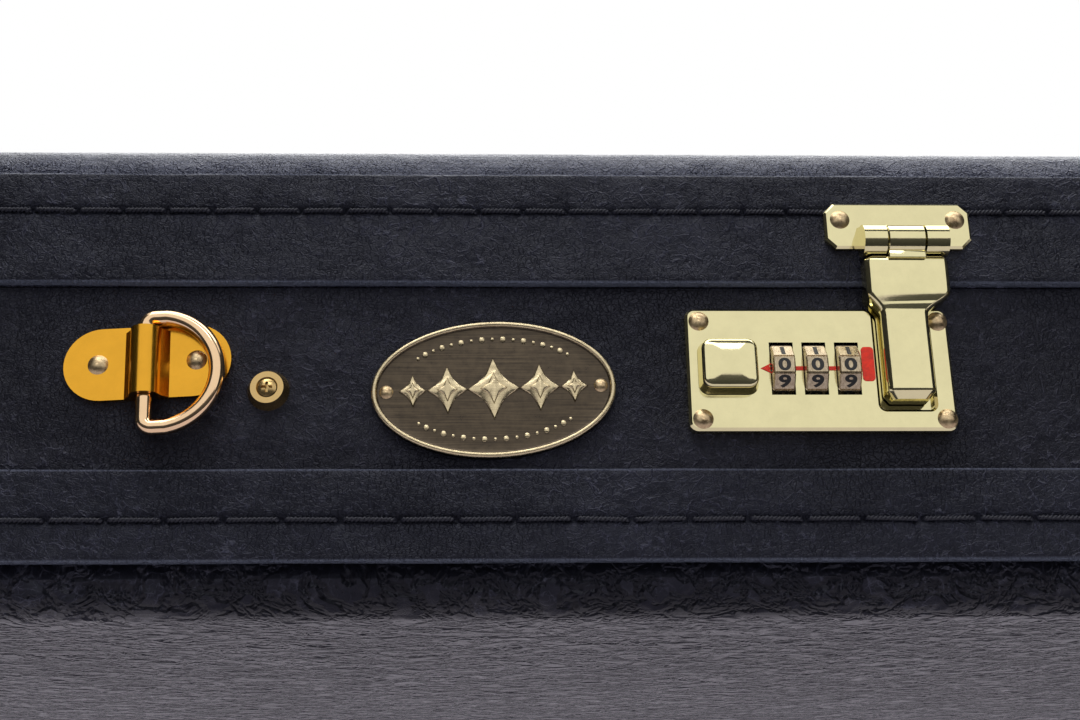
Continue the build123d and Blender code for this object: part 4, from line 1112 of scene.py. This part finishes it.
class CASE_OT_stage(bpy.types.Operator):
    """Pale floor, white surroundings, soft lamps, dark cards that only reflections see, and the camera"""

    bl_idname = "case.stage"
    bl_label = "Stage"

    def execute(self, context):
        scene = context.scene
        levels = scene.case_stage
        scene.view_settings.view_transform = "Standard"
        mesh = bpy.data.meshes.new("floor")
        mesh.from_pydata([(-8, -8, 0), (8, -8, 0), (8, 8, 0), (-8, 8, 0)], [], [(0, 1, 2, 3)])
        floor = placed("floor", mesh)
        made = Finish("Pale floor")
        path = made.node("ShaderNodeLightPath")
        grain = made.noise(made.place(), 0.02, 3.0)
        mottled = made.mix(grain, shade(0.99, levels.floor), shade(1.01, levels.floor))
        plain = made.node("ShaderNodeBsdfDiffuse", None, {"Color": mottled})
        mirror = {"Color": (0.95, 0.89, 1.0), "Strength": levels.floor_mirrored}
        shown = made.node("ShaderNodeEmission", None, mirror)
        glossy = Value(made, path.outputs["Is Glossy Ray"])
        mirrored = (glossy + Value(made, path.outputs["Is Transmission Ray"])).clamped()
        lit = made.node("ShaderNodeMixShader", None, {0: mirrored, 1: plain.outputs[0], 2: shown.outputs[0]})
        below = made.node("ShaderNodeNewGeometry").outputs["Backfacing"]
        clear = made.node("ShaderNodeBsdfTransparent")
        both = made.node("ShaderNodeMixShader", None, {0: below, 1: lit.outputs[0], 2: clear.outputs[0]})
        made.node("ShaderNodeOutputMaterial", None, {"Surface": both.outputs[0]})
        mesh.materials.append(made.material)

        world = bpy.data.worlds.new("Surroundings")
        scene.world = world
        sky = Finish("Surroundings", world)
        path = sky.node("ShaderNodeLightPath")
        rays = [Value(sky, path.outputs[f"Is {kind} Ray"]) for kind in ("Camera", "Glossy", "Transmission")]
        seen = (rays[0] + rays[1] + rays[2]).clamped()
        light = sky.node("ShaderNodeBackground", None, {"Color": WHITE, "Strength": levels.sky})
        white = sky.node("ShaderNodeBackground", None, {"Color": WHITE})
        mixed = sky.node("ShaderNodeMixShader", None, {0: seen, 1: light.outputs[0], 2: white.outputs[0]})
        sky.node("ShaderNodeOutputWorld", None, {"Surface": mixed.outputs[0]})

        lamps = (
            ("front_lamp", (-0.3, -0.95, 1.15), (0, -0.19, 0.06), 1.1, 0.5, levels.key),
            ("rear_lamp", (0.0, 1.15, 1.1), (0, -0.1, 0.1), 2.0, 1.3, levels.rear),
            ("top_lamp", (0.0, -0.1, 1.5), (0, -0.1, 0.1), 1.8, 1.2, levels.top),
        )
        for name, place, aim, width, height, power in lamps:
            data = bpy.data.lights.new(name, "AREA")
            data.shape = "RECTANGLE"
            data.size = width
            data.size_y = height
            data.energy = power
            lamp = placed(name, data)
            lamp.location = place
            lamp.rotation_euler = (Vector(aim) - Vector(place)).to_track_quat("-Z", "Y").to_euler()

        low = 2 * MM
        cards = {
            "front_card": ((-1.6, -1.9, low), (1.6, -1.9, low), (1.6, -0.25, low), (-1.6, -0.25, low)),
            "left_card": ((-0.85, -0.8, 0.0), (-0.85, 0.1, 0.0), (-0.85, 0.1, 0.9), (-0.85, -0.8, 0.9)),
            "right_card": ((0.75, -0.8, 0.0), (0.75, 0.1, 0.0), (0.75, 0.1, 0.9), (0.75, -0.8, 0.9)),
            "high_card": ((-1.4, -0.95, 1.0), (1.4, -0.95, 1.0), (1.4, -0.8, 1.3), (-1.4, -0.8, 1.3)),
        }
        felt = Finish("Dark card")
        nap = felt.noise(felt.place(), 0.05, 2.0)
        felt.surface(base_color=felt.mix(nap, (0.012, 0.012, 0.012), (0.02, 0.02, 0.02)), roughness=0.9)
        for name, corners in cards.items():
            mesh = bpy.data.meshes.new(name)
            mesh.from_pydata(corners, [], [(0, 1, 2, 3)])
            mesh.materials.append(felt.material)
            card = placed(name, mesh)
            card.visible_camera = False
            card.visible_diffuse = False
            card.visible_shadow = False

        side, lift, roll = (math.radians(turn) for turn in CAMERA_TURNS)
        ahead = Vector((math.sin(side) * math.cos(lift), math.cos(side) * math.cos(lift), math.sin(lift)))
        right = Vector((math.cos(side), -math.sin(side), 0))
        up = right.cross(ahead)
        level = right * math.cos(roll) + up * math.sin(roll)
        upright = up * math.cos(roll) - right * math.sin(roll)
        data = bpy.data.cameras.new("photograph")
        data.sensor_width = 36
        data.lens = CAMERA_LENS
        data.clip_start = 0.005
        data.clip_end = 50
        camera = placed("photograph", data)
        camera.matrix_world = facing(Vector(CAMERA_PLACE), -ahead, upright, level)
        scene.camera = camera
        return {"FINISHED"}


OPERATORS = (
    CASE_OT_finishes,
    CASE_OT_bands,
    CASE_OT_stitching,
    CASE_OT_hasps,
    CASE_OT_buttons,
    CASE_OT_wheels,
    CASE_OT_badge,
    CASE_OT_padding,
    CASE_OT_grip,
    CASE_OT_stage,
)


class CASE_PT_panel(bpy.types.Panel):
    """Lists the case's settings and the steps that build it"""

    bl_idname = "CASE_PT_panel"
    bl_label = "Guitar case"
    bl_space_type = "VIEW_3D"
    bl_region_type = "UI"
    bl_category = "Case"

    def draw(self, context):
        scene = context.scene
        for group in (scene.case_sizes, scene.case_finishes, scene.case_stage):
            for name in group.__annotations__:
                self.layout.prop(group, name)
        for step in OPERATORS:
            self.layout.operator(step.bl_idname)


GROUPS = {"case_sizes": CASE_PG_sizes, "case_finishes": CASE_PG_finishes, "case_stage": CASE_PG_stage}


def register():
    for kind in (*GROUPS.values(), *OPERATORS, CASE_PT_panel):
        bpy.utils.register_class(kind)
    for name, group in GROUPS.items():
        setattr(bpy.types.Scene, name, PointerProperty(type=group))


def unregister():
    for name in GROUPS:
        delattr(bpy.types.Scene, name)
    for kind in (CASE_PT_panel, *reversed(OPERATORS), *GROUPS.values()):
        bpy.utils.unregister_class(kind)


def main():
    """Builds every piece and the stage."""
    register()
    for step in OPERATORS:
        getattr(bpy.ops.case, step.bl_idname.split(".")[1])()


if __name__ == "__main__":
    main()
